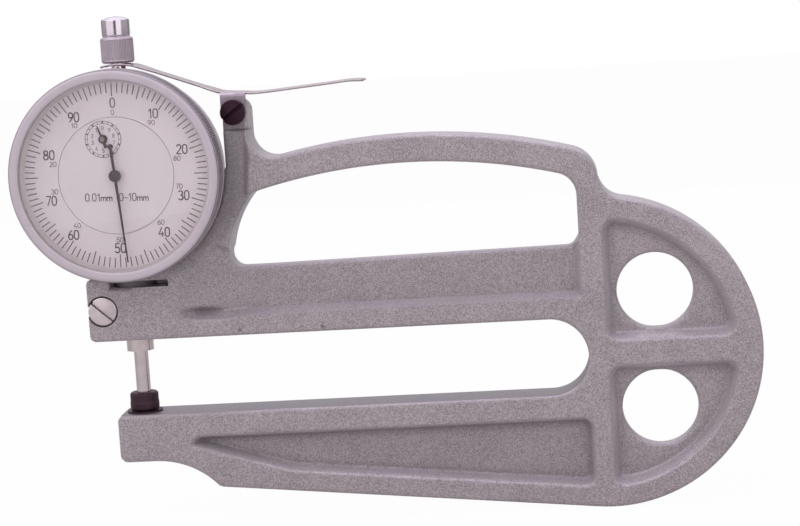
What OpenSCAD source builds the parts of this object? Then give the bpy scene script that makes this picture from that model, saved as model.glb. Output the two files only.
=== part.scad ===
// Dial thickness gauge: a deep-throat casting with an anvil, a dial indicator
// clamped by its stem, and a thumb lever that lifts the plunger.
// Millimetres. The origin is the middle of the anvil's face, on the plunger axis.
// +X runs along the throat, +Y to the back, +Z up the plunger.

/* [Casting] */
// Thickness of the casting, front face to back face
cast_t = 13; // [11:0.5:16]
// Thickness of the thin web between the pockets
web_t = 4.8; // [3:0.2:7]
// Depth of the throat, from the plunger axis to its round end
throat_depth = 120; // [100:1:150]
// Gap between the two jaws
throat_gap = 20.2; // [18:0.1:26]
// Radius of the round end
end_r = 41; // [38:0.5:46]
// Distance of the round end's centre past the throat
end_past = 4.4; // [2:0.2:8]
// Height of the round end's centre above the middle of the throat
end_lift = 0.4; // [0:0.1:2]
// Diameter of the two holes in the round end
hole_d = 20; // [14:0.5:22]
// Distance of the holes' centres past the throat
hole_past = 18.1; // [16:0.1:20]
// Distance between the two holes' centres
hole_gap = 31; // [28:0.5:34]

/* [Lower jaw] */
// Reach of the lower jaw's tip past the plunger axis
tip_reach = 6.5; // [6:0.5:9]
// Height of the lower jaw's tip
tip_h = 12.8; // [11:0.2:16]
// Distance from the plunger axis to the start of the scoop under the tip
scoop_start = 3; // [1:0.5:6]
// Radius of the scoop under the tip
scoop_r = 22.6; // [20:0.2:26]
// Angle that the scoop turns through
scoop_turn = 48.7; // [42:0.1:52]

/* [Head] */
// Reach of the clamp head past the plunger axis
head_reach = 12.2; // [12:0.2:16]
// Height of the clamp head above the upper jaw's underside
head_h = 17; // [15:0.2:18]
// Height of the stem's seat above the upper jaw's underside
seat_h = 14.2; // [12:0.2:15]
// Reach of the seat's slot to the left of the plunger axis
seat_left = 5.8; // [5.6:0.1:6.4]
// Reach of the seat's slot to the right of the plunger axis
seat_right = 10.1; // [8:0.1:11]
// Height of the slot's narrow end to the right of the stem
slot_h = 1.3; // [1:0.1:2]
// Wall that closes the slot's narrow end at the back
slot_wall = 3; // [2:0.5:5]
// Width of the saw cut that lets the head close
split_w = 1.2; // [0.8:0.1:2]
// Distance of the clamp screw from the plunger axis
clamp_x = 8.2; // [8:0.05:8.4]
// Height of the clamp screw above the upper jaw's underside
clamp_h = 8.2; // [6:0.1:9]
// Diameter of the clamp screw's head
clamp_head_d = 7.7; // [6:0.1:8]
// Diameter of the clamp screw's shank
clamp_d = 4; // [3:0.1:5]

/* [Handle] */
// Drop from the lever's pivot to the handle's crest
crest_drop = 8.7; // [4:0.1:11]
// Radius of the handle's long arc
crest_r = 161; // [150:1:180]
// Height of the handle's section
handle_w = 7.1; // [6:0.1:9]
// Radius of the handle's shoulder over the round end
shoulder_r = 8.5; // [7:0.5:11]
// Radius of the hollow between the shoulder and the round end
shoulder_fillet = 7; // [5:0.5:9]
// Height of the upper jaw at the window's left end
jaw_left_h = 17.9; // [16:0.1:20]
// Height of the upper jaw at the window's right end
jaw_right_h = 18.8; // [16:0.1:21]
// Radius of the window's left side
window_side_r = 29; // [26:0.5:32]
// Reach of the window to the left of the lever's pivot
window_past = 4.3; // [3:0.1:6]

/* [Pockets] */
// Height of the flange along the upper jaw's underside
flange_h = 6.2; // [6:0.1:9]
// Width of the rim and of the ribs round the pockets
rib_w = 6.5; // [5:0.1:8]
// Distance of the lower jaw's pocket under the jaw's top
jaw_wall = 6.4; // [5:0.1:8]
// Slope of the pocket walls, as the distance they lean in
draft = 1.1; // [0.6:0.1:1.4]
// Depth of the relief on the post
relief_d = 1; // [0.6:0.1:1.6]

/* [Anvil] */
// Diameter of the anvil
anvil_d = 9.5; // [8:0.1:11]
// Height of the anvil above the jaw
anvil_rise = 0.4; // [0.2:0.1:1]
// Depth of the anvil's head in the jaw
anvil_sunk = 1; // [0.8:0.1:2]
// Diameter of the anvil's shank
anvil_shank_d = 5; // [4:0.1:6]

/* [Indicator] */
// Height of the stem's shoulder between its seat and the case
shoulder_h = 5.4; // [4.8:0.1:6.4]
// Outside radius of the case
case_r = 25.2; // [24:0.1:28]
// Wall of the case
case_wall = 1.5; // [1.4:0.1:2]
// Distance of the case's back face behind the plunger axis
case_back = 7.2; // [7:0.1:9]
// Thickness of the back cover
cover_t = 1.4; // [1.2:0.1:2]
// Diameter of the stem
stem_d = 8; // [7:0.1:8.4]
// Diameter of the stem's shoulder
shoulder_d = 11; // [10:0.1:11]
// Diameter of the guide bush's nose under the head
nose_d = 7.2; // [6.8:0.1:7.6]
// Length of the guide bush's nose
nose_h = 3.5; // [2:0.1:4]

/* [Bezel and dial] */
// Reach of the bezel past the case
bezel_rim = 2.9; // [2.6:0.1:3.8]
// Reach of the bezel's lip inside the case
bezel_lip = 0.2; // [0.1:0.1:0.6]
// Distance of the dial's face in front of the plunger axis
face_y = 13.5; // [13.2:0.1:14]
// Distance of the bezel's front in front of the plunger axis
front_y = 18.2; // [18.2:0.1:19]
// Thickness of the dial
dial_t = 0.5; // [0.4:0.1:0.8]
// Radius of the seam between the fixed dial and the turning scale
seam_r = 15.3; // [15.2:0.1:17]
// Thickness of the crystal
crystal_t = 1.4; // [1:0.1:1.6]

/* [Hands] */
// Gap between the main hand's tip and the bezel's opening
hand_gap = 2.2; // [1:0.1:5]
// Length of the main hand's tail
tail_l = 7.7; // [6:0.1:9]
// Reading angle of the main hand, clockwise from the top
hand_deg = 175.6; // [0:0.1:360]
// Length of the counter hand
counter_l = 3.7; // [3:0.1:4.2]
// Reading angle of the counter hand, anticlockwise from the top
counter_deg = 18.9; // [0:0.1:360]

/* [Movement] */
// Travel of the plunger for one turn of the rack pinion
rack_turn = 10; // [9.6:0.1:10.4]
// Teeth of the rack pinion
rack_teeth = 16; // [14:1:18]
// Teeth of the two large wheels
wheel_teeth = 100; // [100:10:100]
// Teeth of the centre pinion
centre_teeth = 10; // [10:1:10]
// Distance from the dial's centre to the large wheels' arbors, as a share of the case's inside
arbor_share = 0.422; // [0.39:0.002:0.43]
// Direction of the counter's arbor, anticlockwise from +X
arbor_deg = 105.5; // [100:0.5:110]
// Diameter of the arbors
arbor_d = 1.2; // [1:0.05:1.3]
// Thickness of the large wheels
wheel_t = 0.8; // [0.6:0.1:1]
// Tooth thinning that gives the play between teeth
tooth_play = 0.06; // [0.05:0.01:0.1]

/* [Plunger] */
// Diameter of the plunger
plunger_d = 3.8; // [3.6:0.1:3.9]
// Lift of the plunger
lift = 10; // [8:0.5:10]
// Height of the contact point
contact_h = 5; // [4:0.1:5.4]
// Diameter of the contact point's collar
contact_d = 7.6; // [6:0.1:8]
// Gap between the case and the cap's lower rim
cap_gap = 3.6; // [3.4:0.1:5]
// Diameter of the cap's knurled skirt
skirt_d = 8.7; // [8.4:0.1:10]
// Height of the cap's knurled skirt
skirt_h = 6.8; // [5:0.1:8]
// Diameter of the cap's smooth top
crown_d = 7.5; // [7:0.1:8.2]
// Height of the cap's smooth top
crown_h = 5.5; // [4.5:0.1:7]

/* [Lever] */
// Distance of the lever's pivot past the case
pivot_past = 5.6; // [5.4:0.1:6.2]
// Height of the lever's pivot above the dial's centre
pivot_rise = 14.3; // [14:0.1:15]
// Half width of the post that carries the lever
post_r = 3.35; // [3.2:0.05:3.6]
// Radius of the hollow between the post and the handle
post_fillet = 6.2; // [5:0.2:8]
// Thickness of the lever's strip
strip_t = 0.8; // [0.6:0.1:1.2]
// Width of the lever's strip
strip_w = 9.2; // [8.6:0.1:10]
// Width of the fork's slot
fork_w = 4.8; // [4.6:0.1:5]
// Reach of the fork past the plunger axis
fork_l = 4.2; // [4:0.1:6]
// Length of the thumb arm past the ear
thumb_l = 31; // [24:1:36]
// Rise of the thumb arm's end
thumb_rise = 1.5; // [0:0.1:4]
// Diameter of the pivot screw's head
pivot_head_d = 6.6; // [6:0.1:7]
// Diameter of the pivot screw's shoulder
pivot_d = 4; // [3.6:0.1:4.4]

/* [Fits] */
// Clearance between pieces that are fastened together
seat_fit = 0.02; // [0.01:0.01:0.04]
// Clearance round a shaft or rim that turns or slides
run_fit = 0.05; // [0.03:0.01:0.08]
// Gap between the lever and what it lifts
lever_gap = 0.35; // [0.3:0.05:0.5]

/* [Hidden] */
$fn = 96;

// Levels of the casting
half_t = cast_t / 2;
pocket_d = (cast_t - web_t) / 2;
jaw_top = -anvil_rise;
upper_z = jaw_top + throat_gap;
throat_r = throat_gap / 2;
throat_c = [throat_depth - throat_r, jaw_top + throat_r];
end_c = [throat_depth + end_past, throat_c[1] + end_lift];
holes = [for (s = [-1, 1]) [throat_depth + hole_past, end_c[1] + s * hole_gap / 2]];
seat_z = upper_z + seat_h;
seat_room = 0.4;
clamp_c = [-clamp_x, upper_z + clamp_h];
dial_h = seat_z + shoulder_h + case_r;
dial_c = [0, dial_h];
case_gap = 1.8;
// How far a cut runs past a face, and how far two shapes of one piece lap
past = 1;
lap = 0.1;
// Width of small broken edges
edge = 0.4;

// Screws
screw_room = 0.15;
head_room = 0.35;
clamp_low = 0.3;
clamp_head_t = 2.6;
clamp_seat_y = -half_t + clamp_low + clamp_head_t;
clamp_slot_deg = -42;
pivot_head_t = 2.2;
pivot_slot_deg = 35;
thread_r = 0.375 * pivot_d;
thread_end_y = half_t - 3.5;
anvil_shank_l = 6.8;
anvil_end = jaw_top - anvil_sunk - anvil_shank_l;

// Lower jaw
tip_z = jaw_top - tip_h;
tip_round = 2;
scoop_c = [scoop_start, tip_z - scoop_r];
heel = scoop_c + scoop_r * [sin(scoop_turn), cos(scoop_turn)];
heel_deg = ang(heel, end_c) - asin(end_r / norm(end_c - heel));

// Handle
pivot_x = case_r + pivot_past;
pivot_c = [pivot_x, dial_h + pivot_rise];
post_right = pivot_x + post_r;
shoulder_past = 0.3;
shoulder_x = end_c[0] + shoulder_past;
crest_shift = 4;
crest_c = [(post_right + shoulder_x) / 2 - crest_shift, pivot_c[1] - crest_drop - crest_r];
shoulder_c = over([shoulder_x - shoulder_r, 0], crest_c, crest_r - shoulder_r);
neck_c = over([shoulder_x + shoulder_fillet, 0], end_c, end_r + shoulder_fillet);
hollow_c = over([post_right + post_fillet, 0], crest_c, crest_r + post_fillet);
head_round = 1.5;

// Window
window_r = crest_r - handle_w;
window_right = throat_depth - 1;
window_x = pivot_x - window_past;
window_left_h = upper_z + jaw_left_h;
window_right_h = upper_z + jaw_right_h;
corner_r = 3.5;
wide_corner_r = 6;
side_c = [window_x + window_side_r, window_left_h];
low_left_c = [
    side_c[0] - sqrt(pow(window_side_r - corner_r, 2) - pow(corner_r, 2)),
    window_left_h + corner_r
];
high_left_c = meet(side_c, window_side_r - corner_r, crest_c, window_r - corner_r);
high_right_c = over([window_right - wide_corner_r, 0], crest_c, window_r - wide_corner_r);
low_right_c = [window_right - corner_r, window_right_h + corner_r];

// Pockets
flange_z = upper_z + flange_h;
pocket_round = 3;
pocket_end = throat_depth - 1;
pocket_start = throat_depth + rib_w;
pocket_lead = 4;
pocket_run = 12;
lead_r = 1.45;
lead_d = 3;
lead_c = [seat_right + pocket_lead, flange_z + lead_r / 2];
relief_x = post_right - 0.7;
relief_rise = 6;
flat_under = 4.9;
step_z = pivot_c[1] - flat_under;
flat_d = 1.5;

// Indicator, from front to back
case_in = case_r - case_wall;
dial_room = 4.9;
wall_y = face_y - dial_room;
wall_t = 1.2;
dial_back = face_y - dial_t;
spigot_past = 0.7;
spigot_wall = 1.6;
spigot_r = case_r + spigot_past;
spigot_in = spigot_r - spigot_wall;
bore_r = spigot_r + run_fit;
bezel_r = case_r + bezel_rim;
opening_r = case_r - bezel_lip;
bezel_back = wall_y + edge;
lip_t = 0.9;
lip_lean = 0.3;
crystal_y = front_y - lip_t;
snap_y = wall_y + 2.2;
snap_r = 0.42;
snap_room = 0.08;
groove_d = 0.6;
groove_low = snap_y - snap_r - snap_room;
groove_high = snap_y + snap_r + snap_room;
seam_gap = 0.12;
seat_ring_r = seam_r - 0.7;
seat_ring_w = 2.4;
spigot_d = 6.4;
saddle = 2;
nose_z = upper_z + lap;
bush_r = nose_d / 2 - 0.6;
bush_l = 5;
flange_r = 4;
flange_t = 1.2;
bush_bore = plunger_d + 2 * run_fit;
free_bore = plunger_d + 0.8;
boss_r = 2;
boss_at = case_in - boss_r - lap;
case_bottom = dial_h - case_r;
case_top = dial_h + case_r;
cover_screw_d = 1.6;
cover_head_d = 3;
cover_head_t = 0.8;
cover_slot_w = 0.5;
cover_y = case_back + cover_t;
lip_r = case_in - 5.6;
lip_w = 0.8;
cover_edge = 1;

// Movement
wheel_y = 6.2;
bridge_y = 4.8;
bridge_t = 0.9;
bridge_back = -bridge_y + bridge_t;
bridge_r = boss_at - boss_r - 2.1;
pillar_at = bridge_r - 2;
pillar_degs = [33.5, 180, 250];
pillar_d = 3.2;
bridge_screw_d = 1.4;
bridge_head_r = 1.4;
bridge_head_t = 0.8;
arbor_gap = arbor_share * case_in;
wheel_m = 2 * arbor_gap / (wheel_teeth + centre_teeth);
wheel_r = wheel_m * wheel_teeth / 2;
centre_r = wheel_m * centre_teeth / 2;
rack_r = rack_turn / (2 * PI);
rack_m = 2 * rack_r / rack_teeth;
press_deg = 20;
wheel_top = 0.6;
pinion_top = 0.8;
root_play = 0.25;
counter_c = dial_c + arbor_gap * [cos(arbor_deg), sin(arbor_deg)];
// Four teeth of the centre pinion lie between the two wheels
take_up_deg = arbor_deg - 4 * 360 / centre_teeth;
take_up_c = dial_c + arbor_gap * [cos(take_up_deg), sin(take_up_deg)];
rack_x = counter_c[0] + rack_r;
rack_pitch = rack_turn / rack_teeth;
hole_r = arbor_d / 2 + run_fit;
spiral_in = 1.4;
spiral_out = 4.6;
spiral_t = 0.2;
spiral_w = 0.4;
spiral_gap = 0.3;
stud_r = 0.55;
rack_half = 1.2;
rack_past = 2.2;
pinion_past = 0.3;
hand_l = opening_r - hand_gap;
hand_y = 14.9;
hand_t = 0.3;
counter_y = 14.1;

// Plunger
cap_z = case_top + cap_gap;
cap_seat_h = 2;
cap_thread_r = 1.5;
cap_thread_l = 5;
contact_thread_r = 1.25;
contact_thread_l = 3;
contact_gap = 0.05;
collar_z = dial_h - 7.6;
collar_h = 4;
collar_wall = 1.2;
pin_wall = 1.6;
pin_r = 0.75;
spring_x = 6;
rail_x = 8.2;
rail_w = 3;
rail_wall = 2;
rail_under = 5;
rail_over = 4;
rail_back = 2;
spring_pin_r = 0.8;
spring_pin_end = 1.5;
post_z = case_bottom + 5.6;
hook_gap = 0.25;
coil_r = 1.4;
coil_wire_r = 0.25;
coil_turns = 8;

// Lever
ear_y = half_t - flat_d + screw_room;
ear_w = 6.8;
ear_rise = 5.2;
fork_top = cap_z - lever_gap;
fork_wall = 1.4;
fork_bow = 0.5;
knee = 1.2;
strip_z = pivot_c[1] + ear_rise;

// Points and angles
function ang(a, b) = atan2(b[1] - a[1], b[0] - a[0]);
function arc(c, r, a0, a1, n = 12) =
    [for (i = [0:n]) let (a = a0 + (a1 - a0) * i / n) c + r * [cos(a), sin(a)]];
// Point at p's x that lies r from c, above c
function over(p, c, r) = [p[0], c[1] + sqrt(r * r - pow(p[0] - c[0], 2))];
// Left meeting point of two circles
function meet(c, r, d, s) =
    let (g = norm(d - c), u = (d - c) / g, x = (g * g + r * r - s * s) / (2 * g))
    c + u * x + sqrt(r * r - x * x) * [u[1], -u[0]];

// Sheet of a drawing in x and z, from y0 to y1
module slab(y0, y1) {
    translate([0, y1, 0])
        rotate([90, 0, 0])
            linear_extrude(y1 - y0)
                children();
}
// Round bar along y
module bar(c, r, y0, y1) {
    translate([c[0], y1, c[1]])
        rotate([90, 0, 0])
            cylinder(h = y1 - y0, r = r);
}
// Round bar along z
module rod(r, z0, z1) {
    translate([0, 0, z0])
        cylinder(h = z1 - z0, r = r);
}
// Turned ring about the dial's axis from a drawing of radius against distance to the front
module turned() {
    translate([0, 0, dial_h])
        rotate([90, 0, 0])
            rotate_extrude()
                children();
}

// Casting

function outline() = concat(
    [[-tip_reach, jaw_top]],
    arc([-tip_reach + tip_round, tip_z + tip_round], tip_round, 180, 270, 6),
    arc(scoop_c, scoop_r, 90, 90 - scoop_turn),
    arc(end_c, end_r, heel_deg - 90, ang(end_c, neck_c), 48),
    arc(neck_c, shoulder_fillet, ang(end_c, neck_c) + 180, 180),
    arc(shoulder_c, shoulder_r, 0, ang(crest_c, shoulder_c)),
    arc(crest_c, crest_r, ang(crest_c, shoulder_c), ang(crest_c, hollow_c), 24),
    arc(hollow_c, post_fillet, ang(crest_c, hollow_c) + 180, 180),
    arc(pivot_c, post_r, 0, 180, 16),
    [[pivot_x - post_r, dial_h], dial_c, [0, upper_z + head_h]],
    arc([-head_reach + head_round, upper_z + head_h - head_round], head_round, 90, 180, 6),
    arc([-head_reach + head_round, upper_z + head_round], head_round, 180, 270, 6),
    [throat_c]
);

function window_outline() = concat(
    arc(low_left_c, corner_r, 180 + ang(low_left_c, side_c), 270, 8),
    arc(low_right_c, corner_r, -90, 0, 8),
    arc(high_right_c, wide_corner_r, 0, ang(crest_c, high_right_c), 8),
    arc(crest_c, window_r, ang(crest_c, high_right_c), ang(crest_c, high_left_c), 24),
    arc(high_left_c, corner_r, ang(crest_c, high_left_c), ang(side_c, high_left_c), 8),
    arc(side_c, window_side_r, ang(side_c, high_left_c), 180 + ang(low_left_c, side_c), 8)
);

module casting_profile() {
    difference() {
        polygon(outline());
        polygon(window_outline());
        translate(throat_c) circle(throat_r);
        translate([-2 * tip_reach - head_reach, jaw_top])
            square([throat_c[0] + 2 * tip_reach + head_reach, throat_gap]);
        translate(dial_c) circle(case_r + case_gap);
    }
}

// Pocket with leaning walls over round corners, cut from the front face
module pocket(corners) {
    hull()
        for (c = corners)
            translate([c[0], -half_t + pocket_d, c[1]])
                rotate([90, 0, 0])
                    cylinder(h = pocket_d, r1 = pocket_round - draft, r2 = pocket_round, $fn = 32);
}

function jaw_pocket() = let (
    top = jaw_top - jaw_wall - pocket_round,
    low = heel + rib_w * [sin(heel_deg), cos(heel_deg)] + [0, pocket_round],
    right = pocket_end - pocket_round,
    slope = tan(heel_deg)
) [
    [heel[0] - pocket_lead, top - lap],
    [right, top],
    [right, low[1] + slope * (right - low[0])],
    [heel[0] + pocket_run, low[1] + slope * (heel[0] + pocket_run - low[0])]
];

function end_pocket(side) = let (
    r = end_r - rib_w - pocket_round,
    x = pocket_start + pocket_round,
    z = end_c[1] + side * (rib_w / 2 + edge + pocket_round),
    near = asin((z - end_c[1]) / r),
    far = side * acos((x - end_c[0]) / r)
) concat([[x, z]], arc(end_c, r, near, far, 8));

// Sunk panel under the window, which ramps out into the head
module panel() {
    ramp = 12;
    lean = 20;
    start = [seat_right - past, flange_z - past];
    far = 2 * throat_depth;
    right = pocket_end;
    intersection() {
        slab(-half_t - past, -web_t / 2)
            polygon([
                [start[0] - past, flange_z - 2 * past],
                [start[0] + flange_h, flange_z],
                [right, flange_z],
                [right, window_right_h + corner_r],
                [window_x + corner_r, window_left_h + corner_r],
                [window_x - corner_r, window_left_h + 2 * corner_r]
            ]);
        translate([start[0], -half_t, start[1]])
            rotate([0, lean, 0])
                rotate([0, 0, ramp])
                    translate([-far / 2, -far, -far / 2])
                        cube([2 * far, far, far]);
    }
}

// Shallow relief down the post, which ramps out beside the window
module post_relief() {
    ramp = 6;
    far = throat_depth;
    low = window_left_h + relief_rise;
    intersection() {
        slab(-half_t - past, -half_t + relief_d)
            polygon([
                [0, low],
                [window_x + 2 * corner_r, low],
                [relief_x - 2 * edge, high_left_c[1]],
                [relief_x, hollow_c[1] - post_fillet],
                [relief_x, step_z],
                [0, step_z]
            ]);
        translate([0, -half_t, low])
            rotate([ramp, 0, 0])
                translate([-far, -far, 0])
                    cube([2 * far, far, far]);
    }
}

module frame_pockets() {
    pocket(jaw_pocket());
    pocket(end_pocket(1));
    pocket(end_pocket(-1));
    // Narrow lead of the panel along the flange
    slab(-half_t - past, -half_t + lead_d)
        polygon(concat(arc(lead_c, lead_r, 90, 270, 8), [
            [window_x + edge, lead_c[1] - lead_r],
            [window_x + edge, lead_c[1] + lead_r]
        ]));
    panel();
    post_relief();
}

module frame() {
    flat_top = pivot_c[1] + 2 * post_r;
    color([0.62, 0.58, 0.61])
        difference() {
            slab(-half_t, half_t) casting_profile();
            frame_pockets();
            mirror([0, 1, 0]) frame_pockets();
            for (h = holes) bar(h, hole_d / 2, -cast_t, cast_t);
            // Seat, bore and saw cut of the clamp head
            translate([-seat_left, -cast_t, seat_z])
                cube([seat_left + shoulder_d / 2 + seat_room, 2 * cast_t, head_h]);
            translate([0, -cast_t, seat_z])
                cube([seat_right, cast_t + half_t - slot_wall, slot_h]);
            rod(stem_d / 2 + seat_fit, upper_z - past, seat_z + past);
            translate([-2 * head_reach, -split_w / 2, upper_z - past])
                cube([2 * head_reach, split_w, head_h + 2 * past]);
            bar(clamp_c, clamp_head_d / 2 + head_room, -cast_t, clamp_seat_y);
            bar(clamp_c, clamp_d / 2 + screw_room, -cast_t, 0);
            bar(clamp_c, clamp_d / 2 + seat_fit, -past, cast_t);
            // Seat of the anvil
            rod(anvil_d / 2 + seat_fit, jaw_top - anvil_sunk, past);
            rod(anvil_shank_d / 2 + seat_fit, anvil_end - screw_room, past);
            // Flat and tapped hole for the lever
            translate([pivot_x - 2 * post_r, -cast_t, step_z])
                cube([4 * post_r, cast_t - half_t + flat_d, flat_top - step_z]);
            bar(pivot_c, thread_r + seat_fit, -cast_t, thread_end_y + edge);
        }
}

module anvil() {
    color([0.16, 0.14, 0.15]) {
        rod(anvil_d / 2, jaw_top - anvil_sunk, 0);
        rod(anvil_shank_d / 2, anvil_end, 0);
    }
}

// Slotted screw head with its face at y0, slot turned by deg
module slot_head(c, r, y0, y1, deg) {
    slot_w = 0.95;
    slot_d = 1.1;
    difference() {
        bar(c, r, y0, y1);
        translate([c[0], y0, c[1]])
            rotate([0, -deg, 0])
                cube([3 * r, 2 * slot_d, slot_w], center = true);
    }
}

module clamp_screw() {
    color([0.8, 0.76, 0.78]) {
        slot_head(clamp_c, clamp_head_d / 2, clamp_seat_y - clamp_head_t, clamp_seat_y, clamp_slot_deg);
        bar(clamp_c, clamp_d / 2, clamp_seat_y - lap, half_t - edge);
    }
}

module lever_pivot_screw() {
    flat_y = -half_t + flat_d;
    head_y = -ear_y - strip_t - screw_room;
    color([0.15, 0.13, 0.15]) {
        slot_head(pivot_c, pivot_head_d / 2, head_y - pivot_head_t, head_y, pivot_slot_deg);
        bar(pivot_c, pivot_d / 2, head_y - lap, flat_y);
        bar(pivot_c, thread_r, flat_y - lap, thread_end_y);
    }
}

// Indicator body

module stem() {
    color([0.75, 0.72, 0.73])
        difference() {
            union() {
                rod(stem_d / 2, nose_z, seat_z + past);
                difference() {
                    rod(shoulder_d / 2, seat_z, case_bottom + saddle);
                    bar(dial_c, case_r, -cast_t, cast_t);
                }
                rod(spigot_d / 2, seat_z, case_bottom + case_wall);
            }
            rod(free_bore / 2, 0, dial_h);
            rod(bush_r + seat_fit, 0, nose_z + bush_l + screw_room);
        }
}

module lower_bush() {
    color([0.78, 0.75, 0.74])
        difference() {
            union() {
                rod(nose_d / 2, nose_z - nose_h, nose_z);
                rod(bush_r, nose_z - past, nose_z + bush_l);
            }
            rod(bush_bore / 2, 0, dial_h);
        }
}

module case_bosses() {
    for (a = [45:90:315])
        bar(dial_c + boss_at * [cos(a), sin(a)], boss_r, -wall_y, case_back);
}

module case() {
    color([0.7, 0.68, 0.7])
        difference() {
            union() {
                turned()
                    polygon([
                        [0, wall_y], [seat_ring_r - seat_ring_w, wall_y],
                        [seat_ring_r - seat_ring_w, dial_back], [seat_ring_r, dial_back],
                        [seat_ring_r, wall_y], [spigot_in, wall_y],
                        [spigot_in, dial_back - edge], [spigot_r, dial_back - edge],
                        [spigot_r, groove_high], [spigot_r - groove_d, groove_high],
                        [spigot_r - groove_d, groove_low], [spigot_r, groove_low],
                        [spigot_r, wall_y - wall_t], [case_r, wall_y - wall_t], [case_r, -case_back],
                        [case_in, -case_back], [case_in, wall_y - wall_t], [0, wall_y - wall_t]
                    ]);
                case_bosses();
            }
            rod(spigot_d / 2 + seat_fit, 0, dial_h - case_r / 2);
            rod(spigot_d / 2 + seat_fit, dial_h + case_r / 2, case_top + past);
            for (c = [dial_c, counter_c, take_up_c]) bar(c, hole_r, -face_y, 0);
            for (a = [45:90:315])
                bar(dial_c + boss_at * [cos(a), sin(a)], cover_screw_d / 2 + seat_fit, 0, case_back + past);
        }
}

module upper_bush() {
    color([0.78, 0.74, 0.7])
        difference() {
            union() {
                difference() {
                    rod(flange_r, case_top - saddle, case_top + flange_t);
                    bar(dial_c, case_r, -cast_t, cast_t);
                }
                rod(spigot_d / 2, case_top - case_wall, case_top + past);
            }
            rod(bush_bore / 2, dial_h, case_top + 2 * flange_t);
        }
}

module back_cover() {
    color([0.72, 0.7, 0.72])
        difference() {
            turned()
                polygon([
                    [0, -cover_y], [case_r - cover_edge, -cover_y], [case_r, cover_edge - cover_y],
                    [case_r, -case_back], [lip_r + lip_w, -case_back], [lip_r + lip_w, lip_w - case_back],
                    [lip_r, lip_w - case_back], [lip_r, -case_back], [0, -case_back]
                ]);
            for (a = [45:90:315]) {
                c = dial_c + boss_at * [cos(a), sin(a)];
                bar(c, cover_screw_d / 2 + screw_room, 0, cover_y + past);
                bar(c, cover_head_d / 2 + screw_room, cover_y - cover_head_t, cover_y + past);
            }
        }
}

module back_cover_screws() {
    color([0.8, 0.78, 0.78])
        for (a = [45:90:315]) {
            c = dial_c + boss_at * [cos(a), sin(a)];
            difference() {
                bar(c, cover_head_d / 2, cover_y - cover_head_t, cover_y + lap);
                translate([c[0], cover_y + lap, c[1]])
                    rotate([0, a / 2, 0])
                        cube([2 * cover_head_d, cover_head_t + lap, cover_slot_w], center = true);
            }
            bar(c, cover_screw_d / 2, past, cover_y - cover_head_t + lap);
        }
}

// Movement

module bridge_plate() {
    color([0.76, 0.66, 0.4])
        slab(-bridge_y, bridge_back)
            difference() {
                translate(dial_c) circle(bridge_r);
                for (c = [dial_c, counter_c, take_up_c]) translate(c) circle(hole_r);
                for (a = pillar_degs)
                    translate(dial_c + pillar_at * [cos(a), sin(a)])
                        circle(bridge_screw_d / 2 + lap);
            }
}

module bridge_pillars() {
    color([0.76, 0.66, 0.4])
        for (a = pillar_degs) {
            c = dial_c + pillar_at * [cos(a), sin(a)];
            difference() {
                bar(c, pillar_d / 2, -wall_y + wall_t, -bridge_y);
                bar(c, bridge_screw_d / 2 + seat_fit, -wall_y + wall_t + edge, 0);
            }
        }
}

module bridge_screws() {
    color([0.45, 0.45, 0.5])
        for (a = pillar_degs) {
            c = dial_c + pillar_at * [cos(a), sin(a)];
            bar(c, bridge_head_r, bridge_back, bridge_back + bridge_head_t);
            bar(c, bridge_screw_d / 2, -wall_y + wall_t + 2 * edge, bridge_back + lap);
        }
}

module guide_rail() {
    low = collar_z - rail_under;
    tall = rail_under + lift + rail_over;
    color([0.7, 0.68, 0.66])
        difference() {
            translate([rail_x, bridge_back, low])
                cube([rail_w, rail_back - bridge_back, tall]);
            translate([rail_x - past, -pin_r - run_fit, low + rail_wall])
                cube([rail_w + 2 * past, 2 * (pin_r + run_fit), tall - 2 * rail_wall]);
        }
}

module spring_post() {
    color([0.7, 0.68, 0.66])
        bar([spring_x, post_z], spring_pin_r, -wall_y + wall_t, spring_pin_end);
}

// Points along the return spring: straight end, coil, straight end
function coil_path() = let (
    z0 = post_z + spring_pin_r + hook_gap,
    z1 = collar_z - pin_r - hook_gap,
    end = 0.6,
    n = 8 * coil_turns
) [for (i = [-1:n + 1])
    let (
        t = max(0, min(n, i)),
        r = coil_r * min(1, t / 4, (n - t) / 4),
        a = 360 * t / 8,
        z = i < 0 ? z0 : i > n ? z1 : z0 + end + (z1 - z0 - 2 * end) * t / n
    ) [spring_x + r * cos(a), r * sin(a), z]];

// Tube of six sides along a path that climbs
module tube(path, r) {
    n = len(path);
    sides = 6;
    dirs = [for (i = [0:n - 1])
        let (d = path[min(i + 1, n - 1)] - path[max(i - 1, 0)]) d / norm(d)];
    rings = [for (i = [0:n - 1])
        let (
            u0 = cross(dirs[i], [0, 1, 0.001]),
            u = u0 / norm(u0),
            v = cross(dirs[i], u)
        )
        for (k = [0:sides - 1]) path[i] + r * (cos(60 * k) * u + sin(60 * k) * v)];
    walls = [for (i = [0:n - 2], k = [0:sides - 1])
        let (a = i * sides + k, b = i * sides + (k + 1) % sides)
        each [[a, a + sides, b], [b, a + sides, b + sides]]];
    caps = [for (k = [1:sides - 2])
        each [[0, k, k + 1], [(n - 1) * sides, (n - 1) * sides + k + 1, (n - 1) * sides + k]]];
    polyhedron(rings, concat(walls, caps));
}

module return_spring() {
    color([0.6, 0.6, 0.62])
        tube(coil_path(), coil_wire_r);
}

// Flat spiral from radius a to radius b about c, as a band of thickness t
module spiral(c, a, b, turns, t) {
    n = 24 * turns;
    edge = function (s) [for (i = [0:n])
        let (r = a + (b - a) * i / n + s * t / 2) c + r * [cos(15 * i), sin(15 * i)]];
    inner = edge(-1);
    outer = edge(1);
    polygon(concat(outer, [for (i = [n:-1:0]) inner[i]]));
}

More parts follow.
